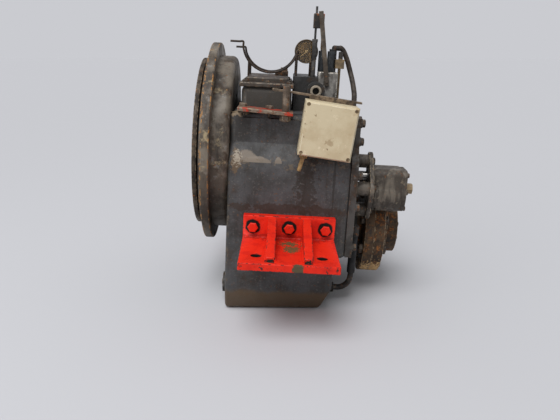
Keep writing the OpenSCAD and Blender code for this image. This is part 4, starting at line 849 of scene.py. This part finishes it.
def islands(node):
    """The separate solids of a CAD node, as arrays of points."""
    bm = bmesh.new()
    bm.from_mesh(frame["nodes"][node].data)
    bmesh.ops.remove_doubles(bm, verts=bm.verts, dist=MERGE)
    seen = set()
    found = []
    for first in bm.verts:
        if first in seen:
            continue
        seen.add(first)
        group = [first]
        for vert in group:
            for edge in vert.link_edges:
                other = edge.other_vert(vert)
                if other not in seen:
                    seen.add(other)
                    group.append(other)
        found.append(np.array([v.co[:] for v in group]))
    bm.free()
    return found


def seats_of(points):
    """Where each head on one bolt sits: place, axis, head, shank and washer sizes."""
    middle = points.mean(0)
    axis = np.linalg.svd(points - middle)[2][0]
    along = (points - middle) @ axis
    radial = np.linalg.norm(points - middle - np.outer(along, axis), axis=1)
    levels = []
    for value in sorted(set(np.round(along, 5))):
        levels.append((value, radial[np.abs(along - value) < LEVEL].max()))
    shank = radial.min()
    found = []
    for order, sign in ((levels[::-1], 1), (levels, -1)):
        head = order[0][1]
        if head < HEADED * shank:
            continue
        washer = 0.0
        if order[1][1] > WASHERED * head:
            washer = abs(order[1][0] - order[2][0])
        found.append({
            "place": middle + axis * order[1][0],
            "axis": sign * axis,
            "head": (head, head, abs(order[0][0] - order[1][0])),
            "washer": (order[1][1], order[1][1], washer),
            "shank": (shank, shank, 0.0 if found else abs(order[1][0] - order[-1][0]))})
    return found


def geometry_tree(name, inputs):
    """An empty Geometry Nodes tree with its sockets, and its two ends."""
    tree = bpy.data.node_groups.new(name, "GeometryNodeTree")
    tree.interface.new_socket("Geometry", in_out="INPUT", socket_type="NodeSocketGeometry")
    for label, kind in inputs:
        tree.interface.new_socket(label, in_out="INPUT", socket_type="NodeSocket" + kind)
    tree.interface.new_socket("Geometry", in_out="OUTPUT", socket_type="NodeSocketGeometry")
    given = tree.nodes.new("NodeGroupInput").outputs
    result = tree.nodes.new("NodeGroupOutput").inputs
    return tree, given, result


def run_tree(piece, name, **inputs):
    """Runs a tree on a piece and keeps the result as a plain mesh."""
    tree = bpy.data.node_groups[name]
    modifier = piece.modifiers.new(name, "NODES")
    modifier.node_group = tree
    for item in tree.interface.items_tree:
        if item.in_out == "INPUT" and item.name in inputs:
            modifier[item.identifier] = inputs[item.name]
    slots = settle(piece).data.materials
    if slots[0] is None:
        slots.pop(index=0)
    return piece


def named(tree, name, kind):
    """A named attribute of the points."""
    return add(tree, "GeometryNodeInputNamedAttribute", {"data_type": kind}, Name=name).outputs[0]


def has_height(tree, size):
    """True where a size's third number is more than nothing."""
    parts = add(tree, "ShaderNodeSeparateXYZ", Vector=size)
    compare = add(tree, "FunctionNodeCompare", {"operation": "GREATER_THAN"})
    plug(tree, parts.outputs["Z"], compare.inputs[0])
    compare.inputs[1].default_value = THIN
    return compare.outputs[0]


def standing(tree, sides, middle):
    """A closed cylinder of radius 1 and height 1 whose middle is at the given height."""
    made = add(tree, "GeometryNodeMeshCylinder", Vertices=sides, Radius=1.0, Depth=1.0)
    moved = add(tree, "GeometryNodeTransform", Geometry=made.outputs["Mesh"],
                Translation=(0, 0, middle))
    return moved.outputs["Geometry"]


def chamfered_hex(tree, chamfer):
    """A closed hexagonal head of radius 1 and height 1 with a chamfered top."""
    base = add(tree, "GeometryNodeMeshCircle", {"fill_type": "NGON"}, Vertices=6, Radius=1.0)
    low = add(tree, "GeometryNodeExtrudeMesh", Mesh=base.outputs["Mesh"], Individual=False,
              Offset_Scale=maths(tree, "SUBTRACT", 1.0, chamfer))
    top = add(tree, "GeometryNodeExtrudeMesh", Mesh=low.outputs["Mesh"], Individual=False,
              Selection=low.outputs["Top"], Offset_Scale=chamfer)
    drawn = add(tree, "GeometryNodeScaleElements", Geometry=top.outputs["Mesh"],
                Selection=top.outputs["Top"], Scale=maths(tree, "SUBTRACT", 1.0, chamfer))
    under = add(tree, "GeometryNodeFlipFaces", Mesh=base.outputs["Mesh"])
    both = add(tree, "GeometryNodeJoinGeometry")
    tree.links.new(drawn.outputs["Geometry"], both.inputs[0])
    tree.links.new(under.outputs["Mesh"], both.inputs[0])
    whole = add(tree, "GeometryNodeMergeByDistance", Geometry=both.outputs[0], Distance=0.001)
    return whole.outputs["Geometry"]


def seat_turn(tree):
    """Turns an instance to its point's axis and by its point's spin."""
    facing = add(tree, "FunctionNodeAlignRotationToVector", {"axis": "Z"},
                 Vector=named(tree, "axis", "FLOAT_VECTOR"))
    spin = add(tree, "FunctionNodeAxisAngleToRotation", Axis=(0, 0, 1),
               Angle=named(tree, "spin", "FLOAT"))
    turned = add(tree, "FunctionNodeRotateRotation", {"rotation_space": "LOCAL"},
                 Rotation=facing.outputs[0], Rotate_By=spin.outputs[0])
    return turned.outputs[0]


def set_out(tree, points, shape, turn, size, only=None):
    """Instances of a shape on points."""
    node = add(tree, "GeometryNodeInstanceOnPoints", Points=points, Instance=shape,
               Rotation=turn, Scale=size)
    if only is not None:
        plug(tree, only, node.inputs["Selection"])
    return node.outputs["Instances"]


def gather(tree, shapes, finish, smooth=False):
    """Joins shapes into one real mesh with a material."""
    both = add(tree, "GeometryNodeJoinGeometry")
    for shape in shapes:
        tree.links.new(shape, both.inputs[0])
    real = add(tree, "GeometryNodeRealizeInstances", Geometry=both.outputs[0])
    shaded = add(tree, "GeometryNodeSetShadeSmooth", Geometry=real.outputs[0],
                 Shade_Smooth=smooth)
    return add(tree, "GeometryNodeSetMaterial", Geometry=shaded.outputs[0],
               Material=finish).outputs[0]


def build_bolts():
    """Hexagon bolts and nuts with shanks and washers, one for each point."""
    tree, given, result = geometry_tree(
        "Hex bolts", [("Chamfer", "Float"), ("Material", "Material")])
    points = given["Geometry"]
    turn = seat_turn(tree)
    head = named(tree, "head", "FLOAT_VECTOR")
    shank = named(tree, "shank", "FLOAT_VECTOR")
    washer = named(tree, "washer", "FLOAT_VECTOR")
    shapes = [
        set_out(tree, points, chamfered_hex(tree, given["Chamfer"]), turn, head),
        set_out(tree, points, standing(tree, SHANK_SIDES, BELOW), turn, shank,
                has_height(tree, shank)),
        set_out(tree, points, standing(tree, ROUND_SIDES, BELOW), turn, washer,
                has_height(tree, washer))]
    plug(tree, gather(tree, shapes, given["Material"]), result["Geometry"])


def build_screws():
    """Round screws with a cross recess, one for each point."""
    tree, given, result = geometry_tree("Cross screws", [("Material", "Material")])
    points = given["Geometry"]
    turn = seat_turn(tree)
    cutters = []
    long, wide, deep = RECESS
    for size in ((long, wide, deep), (wide, long, deep)):
        cube = add(tree, "GeometryNodeMeshCube", Size=size)
        lifted = add(tree, "GeometryNodeTransform", Geometry=cube.outputs["Mesh"],
                     Translation=(0, 0, 1.0))
        cutters.append(lifted.outputs["Geometry"])
    cut = add(tree, "GeometryNodeMeshBoolean", {"operation": "DIFFERENCE", "solver": "EXACT"})
    tree.links.new(standing(tree, ROUND_SIDES, ABOVE), cut.inputs[0])
    for cutter in cutters:
        tree.links.new(cutter, cut.inputs[1])
    shank = named(tree, "shank", "FLOAT_VECTOR")
    shapes = [
        set_out(tree, points, cut.outputs[0], turn, named(tree, "head", "FLOAT_VECTOR")),
        set_out(tree, points, standing(tree, SCREW_SIDES, BELOW), turn, shank,
                has_height(tree, shank))]
    plug(tree, gather(tree, shapes, given["Material"]), result["Geometry"])


def build_tube():
    """A round tube along a smooth path."""
    tree, given, result = geometry_tree(
        "Tube on a path", [("Radius", "Float"), ("Sides", "Int"), ("Steps", "Int"),
                           ("Material", "Material")])
    line = add(tree, "GeometryNodeMeshToCurve", Mesh=given["Geometry"])
    kind = add(tree, "GeometryNodeCurveSplineType", {"spline_type": "CATMULL_ROM"},
               Curve=line.outputs[0])
    fine = add(tree, "GeometryNodeSetSplineResolution", Geometry=kind.outputs[0],
               Resolution=given["Steps"])
    ring = add(tree, "GeometryNodeCurvePrimitiveCircle", Resolution=given["Sides"],
               Radius=given["Radius"])
    tube = add(tree, "GeometryNodeCurveToMesh", Curve=fine.outputs[0],
               Profile_Curve=ring.outputs["Curve"], Fill_Caps=True)
    plug(tree, gather(tree, [tube.outputs[0]], given["Material"], True), result["Geometry"])


def build_weld():
    """A rippled weld bead along a line."""
    tree, given, result = geometry_tree(
        "Weld bead", [("Radius", "Float"), ("Pitch", "Float"), ("Material", "Material")])
    line = add(tree, "GeometryNodeMeshToCurve", Mesh=given["Geometry"])
    fine = add(tree, "GeometryNodeResampleCurve", {"mode": "LENGTH"}, Curve=line.outputs[0],
               Length=given["Pitch"])
    index = add(tree, "GeometryNodeInputIndex").outputs[0]
    wave = maths(tree, "SINE", maths(tree, "MULTIPLY", index, RIPPLE_STEP))
    swell = maths(tree, "MULTIPLY_ADD", wave, RIPPLE, 1.0)
    sized = add(tree, "GeometryNodeSetCurveRadius", Curve=fine.outputs[0], Radius=swell)
    ring = add(tree, "GeometryNodeCurvePrimitiveCircle", Resolution=WELD_SIDES,
               Radius=given["Radius"])
    bead = add(tree, "GeometryNodeCurveToMesh", Curve=sized.outputs[0],
               Profile_Curve=ring.outputs["Curve"], Fill_Caps=True, Scale=swell)
    plug(tree, gather(tree, [bead.outputs[0]], given["Material"], True), result["Geometry"])


def build_marks():
    """Dial marks around the gauge's centre, every fourth one wider."""
    tree, given, result = geometry_tree(
        "Dial marks", [("Count", "Int"), ("Radius", "Float"), ("Centre", "Vector"),
                       ("Material", "Material")])
    line = add(tree, "GeometryNodeMeshLine", Count=given["Count"], Offset=(0, 0, 0))
    index = add(tree, "GeometryNodeInputIndex").outputs[0]
    step = maths(tree, "DIVIDE", MARK_SWEEP, maths(tree, "SUBTRACT", given["Count"], 1))
    angle = maths(tree, "MULTIPLY_ADD", index, step, -MARK_SWEEP / 2)
    turn = add(tree, "ShaderNodeCombineXYZ", Y=angle).outputs[0]
    fourth = maths(tree, "LESS_THAN", maths(tree, "MODULO", index, 4.0), 0.5)
    size = add(tree, "ShaderNodeCombineXYZ", X=maths(tree, "MULTIPLY_ADD", fourth, 0.5, 1.0),
               Y=1.0, Z=1.0).outputs[0]
    bar = add(tree, "GeometryNodeMeshCube", Size=MARK_SIZE)
    out = add(tree, "ShaderNodeCombineXYZ", Z=given["Radius"]).outputs[0]
    moved = add(tree, "GeometryNodeTransform", Geometry=bar.outputs["Mesh"], Translation=out)
    marks = set_out(tree, line.outputs["Mesh"], moved.outputs[0], turn, size)
    put = add(tree, "GeometryNodeTransform", Geometry=marks, Translation=given["Centre"])
    plug(tree, gather(tree, [put.outputs[0]], given["Material"]), result["Geometry"])


def points_mesh(name, seats, seed):
    """Points with the axis and sizes that the fastener trees read."""
    mesh = bpy.data.meshes.new(name)
    mesh.from_pydata([tuple(s["place"]) for s in seats], [], [])
    for key in ("axis", "head", "shank", "washer"):
        values = mesh.attributes.new(key, "FLOAT_VECTOR", "POINT")
        values.data.foreach_set("vector", np.array([s[key] for s in seats], np.float32).ravel())
    draw = random.Random(seed)
    spin = mesh.attributes.new("spin", "FLOAT", "POINT")
    spin.data.foreach_set("value", [draw.uniform(0, math.tau) for _ in seats])
    return mesh


def fasten(node, finish, seed, tree="Hex bolts"):
    """Detailed bolts or screws in place of a CAD node's plain ones."""
    seats = [seat for points in islands(node) for seat in seats_of(points)]
    piece = new_piece(node + "_piece", points_mesh(node, seats, seed))
    sizes = bpy.context.scene.gearbox_sizes
    run_tree(piece, tree, Chamfer=sizes.bolt_chamfer, Material=material(finish))
    place(piece, node)


def path_mesh(name, *routes):
    """Poly-lines through the given points."""
    verts = []
    edges = []
    for route in routes:
        start = len(verts)
        verts += [tuple(p) for p in route]
        edges += [(start + i, start + i + 1) for i in range(len(route) - 1)]
    mesh = bpy.data.meshes.new(name)
    mesh.from_pydata(verts, edges, [])
    return mesh


def tube(name, radius, finish, *routes):
    """A piece of round tubes along routes."""
    piece = new_piece(name, path_mesh(name, *routes))
    sides = bpy.context.scene.gearbox_sizes.tube_sides
    return run_tree(piece, "Tube on a path", Radius=radius, Sides=sides, Steps=TUBE_STEPS,
                    Material=material(finish))


def lathe(name, profile, centre, finish):
    """A closed turned piece about the Y axis, from (radius, depth) points.

    A profile that starts off the axis closes on itself.
    """
    bm = bmesh.new()
    rings = []
    for radius, depth in profile:
        turns = [math.tau * step / TURN_STEPS for step in range(TURN_STEPS if radius else 1)]
        rings.append([bm.verts.new((radius * math.cos(turn), depth, radius * math.sin(turn)))
                      for turn in turns])
    if profile[0][0]:
        rings.append(rings[0])
    for first, second in zip(rings, rings[1:]):
        for step in range(TURN_STEPS):
            corners = [first[step % len(first)], second[step % len(second)],
                       second[(step + 1) % len(second)], first[(step + 1) % len(first)]]
            bm.faces.new(list(dict.fromkeys(corners)))
    bmesh.ops.recalc_face_normals(bm, faces=bm.faces)
    bmesh.ops.translate(bm, verts=bm.verts, vec=centre)
    for face in bm.faces:
        face.smooth = True
    for edge in bm.edges:
        if edge.calc_face_angle(0) > SHARP:
            edge.smooth = False
    mesh = bpy.data.meshes.new(name)
    bm.to_mesh(mesh)
    bm.free()
    mesh.materials.append(material(finish))
    return new_piece(name, mesh)


def ride_along(piece, body):
    """A new fine piece that stands for no CAD node."""
    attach(piece, body)


def aim(lamp, along):
    """Turns a lamp to shine along a direction."""
    lamp.rotation_euler = Vector(along).to_track_quat("-Z", "Y").to_euler()


class GEARBOX_OT_stage(Operator):
    """Sets up the camera, the floor and the light"""

    bl_idname = "gearbox.stage"
    bl_label = "Stage"

    def execute(self, context):
        scene = context.scene
        stage = scene.gearbox_stage
        scene.view_settings.view_transform = "Standard"
        data = bpy.data.cameras.new("photo_camera")
        data.sensor_width = SENSOR
        data.lens = stage.lens
        camera = new_piece("photo_camera", data)
        back = [-v for v in EYE_AHEAD]
        rows = list(zip(EYE_RIGHT, EYE_UP, back, EYE))
        camera.matrix_world = Matrix(rows + [(0, 0, 0, 1)])
        scene.camera = camera
        self.floor(stage)
        self.world(scene, stage)
        self.lamps(stage)
        return {"FINISHED"}

    def floor(self, stage):
        """A plain sloping floor that the pan's floor lies on."""
        mesh = bpy.data.meshes.new("floor")
        rise = math.tan(FLOOR_SLOPE)
        corners = ((-1, -1), (1, -1), (1, 1), (-1, 1))
        mesh.from_pydata(
            [(x * FLOOR_REACH, y * FLOOR_REACH, FLOOR_DROP + rise * x * FLOOR_REACH)
             for x, y in corners], [], [(0, 1, 2, 3)])
        floor = new_piece("floor", mesh)
        paint = bpy.data.materials.new("floor_grey")
        paint.use_nodes = True
        shader = paint.node_tree.nodes["Principled BSDF"]
        shader.inputs["Base Color"].default_value = (*(FLOOR_SHARE * stage.floor), 1)
        shader.inputs["Roughness"].default_value = FLOOR_ROUGH
        shader.inputs["Specular IOR Level"].default_value = FLOOR_GLOSS
        mesh.materials.append(paint)

    def world(self, scene, stage):
        """Even light, with the floor's colour where the surroundings are seen."""
        world = bpy.data.worlds.new("studio")
        world.use_nodes = True
        scene.world = world
        tree = world.node_tree
        shown = tree.nodes["Background"]
        shown.inputs["Color"].default_value = (*stage.floor, 1)
        light = add(tree, "ShaderNodeBackground", Color=(1, 1, 1, 1), Strength=stage.ambient)
        rays = add(tree, "ShaderNodeLightPath").outputs
        seen = maths(tree, "MAXIMUM", rays["Is Camera Ray"], rays["Is Glossy Ray"])
        seen = maths(tree, "MAXIMUM", seen, rays["Is Transmission Ray"])
        both = add(tree, "ShaderNodeMixShader")
        plug(tree, seen, both.inputs[0])
        tree.links.new(light.outputs[0], both.inputs[1])
        tree.links.new(shown.outputs[0], both.inputs[2])
        tree.links.new(both.outputs[0], tree.nodes["World Output"].inputs["Surface"])

    def lamps(self, stage):
        """A wide sun from the front and above, and a soft lamp at the front left."""
        sun = bpy.data.lights.new("key", "SUN")
        sun.energy = stage.key
        sun.angle = KEY_SPREAD
        aim(new_piece("key", sun), KEY_AIM)
        area = bpy.data.lights.new("fill", "AREA")
        area.energy = stage.fill
        area.size = FILL_SIZE
        lamp = new_piece("fill", area)
        lamp.location = FILL_PLACE
        aim(lamp, FILL_AIM)


class GEARBOX_OT_castings(Operator):
    """Rounds and paints the case, the bell and the covers"""

    bl_idname = "gearbox.castings"
    bl_label = "Castings"

    def execute(self, context):
        dress_each("case", ("main_case", "case_paint", 4, 1))
        dress_each("casting", ("bell_housing", "bell_iron", 3), ("rear_cover", "cover_iron"),
                   ("top_cover", "lid_iron"), ("strainer_cover", "cover_iron"),
                   ("drain_plug", "bolt_steel"), ("filler_cap", "rusty_steel"))
        return {"FINISHED"}


class GEARBOX_OT_brackets(Operator):
    """Paints the mounting brackets and lays their weld beads"""

    bl_idname = "gearbox.brackets"
    bl_label = "Brackets"

    def execute(self, context):
        for node in ("mount_bracket_near", "mount_bracket_far"):
            dress_each("plate", (node, "bracket_red"))
            self.weld(node)
        fasten("bracket_bolts", "bolt_red", 7)
        return {"FINISHED"}

    def weld(self, node):
        """Beads along the feet of the ribs and of the wall plate."""
        low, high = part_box(node)
        side = -1 if low.y < 0 else 1
        face = side * BRACKET_FACE
        middle = (low.x + high.x) / 2
        routes = []
        for rib in (-RIB_X, RIB_X):
            for flank in (-RIB_HALF, RIB_HALF):
                x = middle + rib + flank
                routes.append([(x, face, FOOT_TOP), (x, side * RIB_END, FOOT_TOP)])
        inner = RIB_X - RIB_HALF
        outer = RIB_X + RIB_HALF
        for start, end in ((low.x + WELD_IN, middle - outer), (middle - inner, middle + inner),
                           (middle + outer, high.x - WELD_IN)):
            routes.append([(start, face, FOOT_TOP), (end, face, FOOT_TOP)])
        piece = new_piece(node + "_welds", path_mesh(node, *routes))
        run_tree(piece, "Weld bead", Radius=WELD_R, Pitch=WELD_PITCH,
                 Material=material("bracket_red"))
        ride_along(piece, "housing")


class GEARBOX_OT_fasteners(Operator):
    """Puts detailed bolts in place of the plain ones"""

    bl_idname = "gearbox.fasteners"
    bl_label = "Fasteners"

    def execute(self, context):
        for seed, node in enumerate(("cover_bolts", "pump_bolts", "flange_bolts")):
            fasten(node, "bolt_steel", seed)
        fasten("junction_box_screws", "screw_steel", 3, "Cross screws")
        dress_each("trim", ("support_fasteners", "bare_post"))
        return {"FINISHED"}


class GEARBOX_OT_junction_box(Operator):
    """Finishes the junction box and what carries it"""

    bl_idname = "gearbox.junction_box"
    bl_label = "Junction box"

    def execute(self, context):
        dress_each("plate", ("junction_box", "box_enamel", 3), ("junction_box_lid", "box_enamel", 3),
                   ("support_bar", "painted_bar"), ("support_post", "bare_post"))
        dress_each("trim", ("box_strip", "strip_steel"), ("cable_gland", "gland_tan"))
        return {"FINISHED"}


class GEARBOX_OT_controls(Operator):
    """Finishes the valves, the selector and the cable parts"""

    bl_idname = "gearbox.controls"
    bl_label = "Controls"

    def execute(self, context):
        dress_each("casting", ("valve_block", "valve_iron"), ("valve_body", "valve_alloy"))
        dress_each("trim", ("solenoids", "solenoid_black"), ("pressure_switch", "switch_tan"),
                   ("cable_bracket", "strap_iron"))
        dress_each("plate", ("cable_anchor", "anchor_black"))
        dress_each("trim", ("selector_spool", "selector_steel"))
        return {"FINISHED"}


class GEARBOX_OT_gauge(Operator):
    """Builds the pressure gauge with its dial and glass"""

    bl_idname = "gearbox.gauge"
    bl_label = "Pressure gauge"

    def execute(self, context):
        inner = GAUGE_R - GAUGE_RIM
        outer = GAUGE_R - GAUGE_LIP
        room = inner - DIAL_ROOM
        front = DIAL_DEPTH - DIAL_THICK
        case = lathe("gauge_case_piece", [
            (0, DIAL_DEPTH), (inner, DIAL_DEPTH), (inner, GAUGE_LIP), (inner + GAUGE_LIP, 0),
            (outer, 0), (GAUGE_R, GAUGE_LIP), (GAUGE_R, BEZEL_DEPTH), (outer, BEZEL_END),
            (outer, GAUGE_DEPTH - BACK_ROUND), (outer - BACK_ROUND, GAUGE_DEPTH),
            (0, GAUGE_DEPTH)], GAUGE, "gauge_bronze")
        place(case, "gauge_case")
        dial = lathe("gauge_dial", [
            (DIAL_BORE, front), (room, front), (room, DIAL_DEPTH), (DIAL_BORE, DIAL_DEPTH)],
            GAUGE, "gauge_dial")
        marks = new_piece("gauge_marks", path_mesh("gauge_marks", [tuple(GAUGE)]))
        run_tree(marks, "Dial marks", Count=context.scene.gearbox_sizes.dial_marks,
                 Radius=inner - MARK_IN, Material=material("dial_mark"),
                 Centre=GAUGE + Vector((0, DIAL_DEPTH - DIAL_ROOM, 0)))
        glass = lathe("gauge_glass", [
            (0, GLASS_FRONT[0]), (room, GLASS_FRONT[1]), (room, GLASS_BACK[1]),
            (0, GLASS_BACK[0])], GAUGE, "gauge_glass")
        for piece in (dial, marks, glass):
            ride_along(piece, "housing")
        keep("gauge_pointer", "pointer_white")
        dress_each("trim", ("gauge_pipe", "rusty_steel"))
        return {"FINISHED"}


class GEARBOX_OT_hoses(Operator):
    """Draws the hoses with their fittings and the cooler cradle's bent rods"""

    bl_idname = "gearbox.hoses"
    bl_label = "Hoses and cradle"

    def execute(self, context):
        place(tube("supply_hose_piece", SUPPLY_R, "hose_brown", SUPPLY_ROUTE), "supply_hose")
        place(tube("return_hose_piece", RETURN_R, "rubber", RETURN_ROUTE), "return_hose")
        dress_each("trim", ("hose_fittings", "fitting_black"))
        routes = []
        for y, start, end, left, right in HOOPS:
            routes.append(self.hoop(y, start, end, left, right))
            for x, foot in HOOP_LEGS:
                drop = math.sqrt(HOOP_R ** 2 - (x - HOOP_X) ** 2)
                routes.append([(x, y, foot), (x, y, HOOP_Z - drop)])
        place(tube("cooler_cradle_piece", HOOP_ROD, "cradle_rod", *routes), "cooler_cradle")
        return {"FINISHED"}

    def hoop(self, y, start, end, left, right):
        """The route of one bent rod, with a straight end at the left and perhaps the right."""
        bend = []
        for step in range(HOOP_STEPS + 1):
            angle = math.radians(start + (end - start) * step / HOOP_STEPS)
            bend.append((HOOP_X + HOOP_R * math.cos(angle), y, HOOP_Z + HOOP_R * math.sin(angle)))
        x, _, z = bend[0]
        route = [(x - left, y, z), (x - left / 3, y, z)] + bend
        if right:
            x, _, z = bend[-1]
            route += [(x + right / 3, y, z + HOOP_LIFT), (x + right, y, z + HOOP_LIFT)]
        return route


class GEARBOX_OT_pump(Operator):
    """Finishes the oil pump on its standoffs"""

    bl_idname = "gearbox.pump"
    bl_label = "Oil pump"

    def execute(self, context):
        dress_each("plate", ("pump_plate", "pump_iron"), ("pump_standoffs", "pump_iron"),
                   ("pump_body", "pump_iron"))
        dress_each("trim", ("pump_cover", "pump_iron"))
        return {"FINISHED"}


class GEARBOX_OT_flanges(Operator):
    """Finishes the output flanges and the elastic coupling"""

    bl_idname = "gearbox.flanges"
    bl_label = "Flanges and coupling"

    def execute(self, context):
        dress_each("plate", ("output_flange", "flange_rust"), ("companion_flange", "flange_rust"),
                   ("coupling_ring", "ring_rust"), ("coupling_hub", "bell_iron"))
        dress_each("casting", ("coupling_rubber", "rubber"))
        return {"FINISHED"}


class GEARBOX_OT_inner_train(Operator):
    """Gives the shafts, gears, clutches and bearings their finishes"""

    bl_idname = "gearbox.inner_train"
    bl_label = "Inner train"

    def execute(self, context):
        for node in ("input_shaft", "counter_shaft", "output_shaft", "output_gear",
                     "forward_drum", "reverse_drum", "forward_pinion", "reverse_pinion",
                     "forward_piston", "reverse_piston", "pump_driven_gear"):
            keep(node, "machined_steel")
        for node in ("front_bearings", "rear_bearings"):
            keep(node, "bearing_steel")
        for node in ("forward_clutch_pack", "reverse_clutch_pack"):
            keep(node, "friction_lining")
        keep("shaft_seals", "rubber")
        return {"FINISHED"}


class GEARBOX_PT_panel(Panel):
    """Lists the gearbox's settings and pieces"""

    bl_idname = "GEARBOX_PT_panel"
    bl_label = "Marine gearbox"
    bl_space_type = "VIEW_3D"
    bl_region_type = "UI"
    bl_category = "Gearbox"

    def draw(self, context):
        """Shows the settings, then a button for each group of pieces."""
        for group in GROUPS:
            box = self.layout.box()
            settings = getattr(context.scene, group)
            for key in settings.bl_rna.properties.keys():
                if key not in ("rna_type", "name"):
                    box.prop(settings, key)
        for operator in OPERATORS:
            self.layout.operator(operator.bl_idname)


GROUPS = {
    "gearbox_sizes": GearboxSizes,
    "gearbox_colours": GearboxColours,
    "gearbox_stage": GearboxStage,
}
OPERATORS = (
    GEARBOX_OT_stage, GEARBOX_OT_castings, GEARBOX_OT_brackets, GEARBOX_OT_fasteners,
    GEARBOX_OT_junction_box, GEARBOX_OT_controls, GEARBOX_OT_gauge, GEARBOX_OT_hoses,
    GEARBOX_OT_pump, GEARBOX_OT_flanges, GEARBOX_OT_inner_train)


def register():
    """Adds the classes and their settings."""
    for item in (*GROUPS.values(), *OPERATORS, GEARBOX_PT_panel):
        bpy.utils.register_class(item)
    for name, group in GROUPS.items():
        setattr(bpy.types.Scene, name, PointerProperty(type=group))


def unregister():
    """Takes the classes and their settings out again."""
    for name in GROUPS:
        delattr(bpy.types.Scene, name)
    for item in (GEARBOX_PT_panel, *reversed(OPERATORS), *GROUPS.values()):
        bpy.utils.unregister_class(item)


def main():
    """Builds every piece."""
    register()
    make_finishes()
    for build in (build_bolts, build_screws, build_tube, build_weld, build_marks):
        build()
    for operator in OPERATORS:
        getattr(bpy.ops.gearbox, operator.bl_idname.split(".")[1])()


if __name__ == "__main__":
    main()
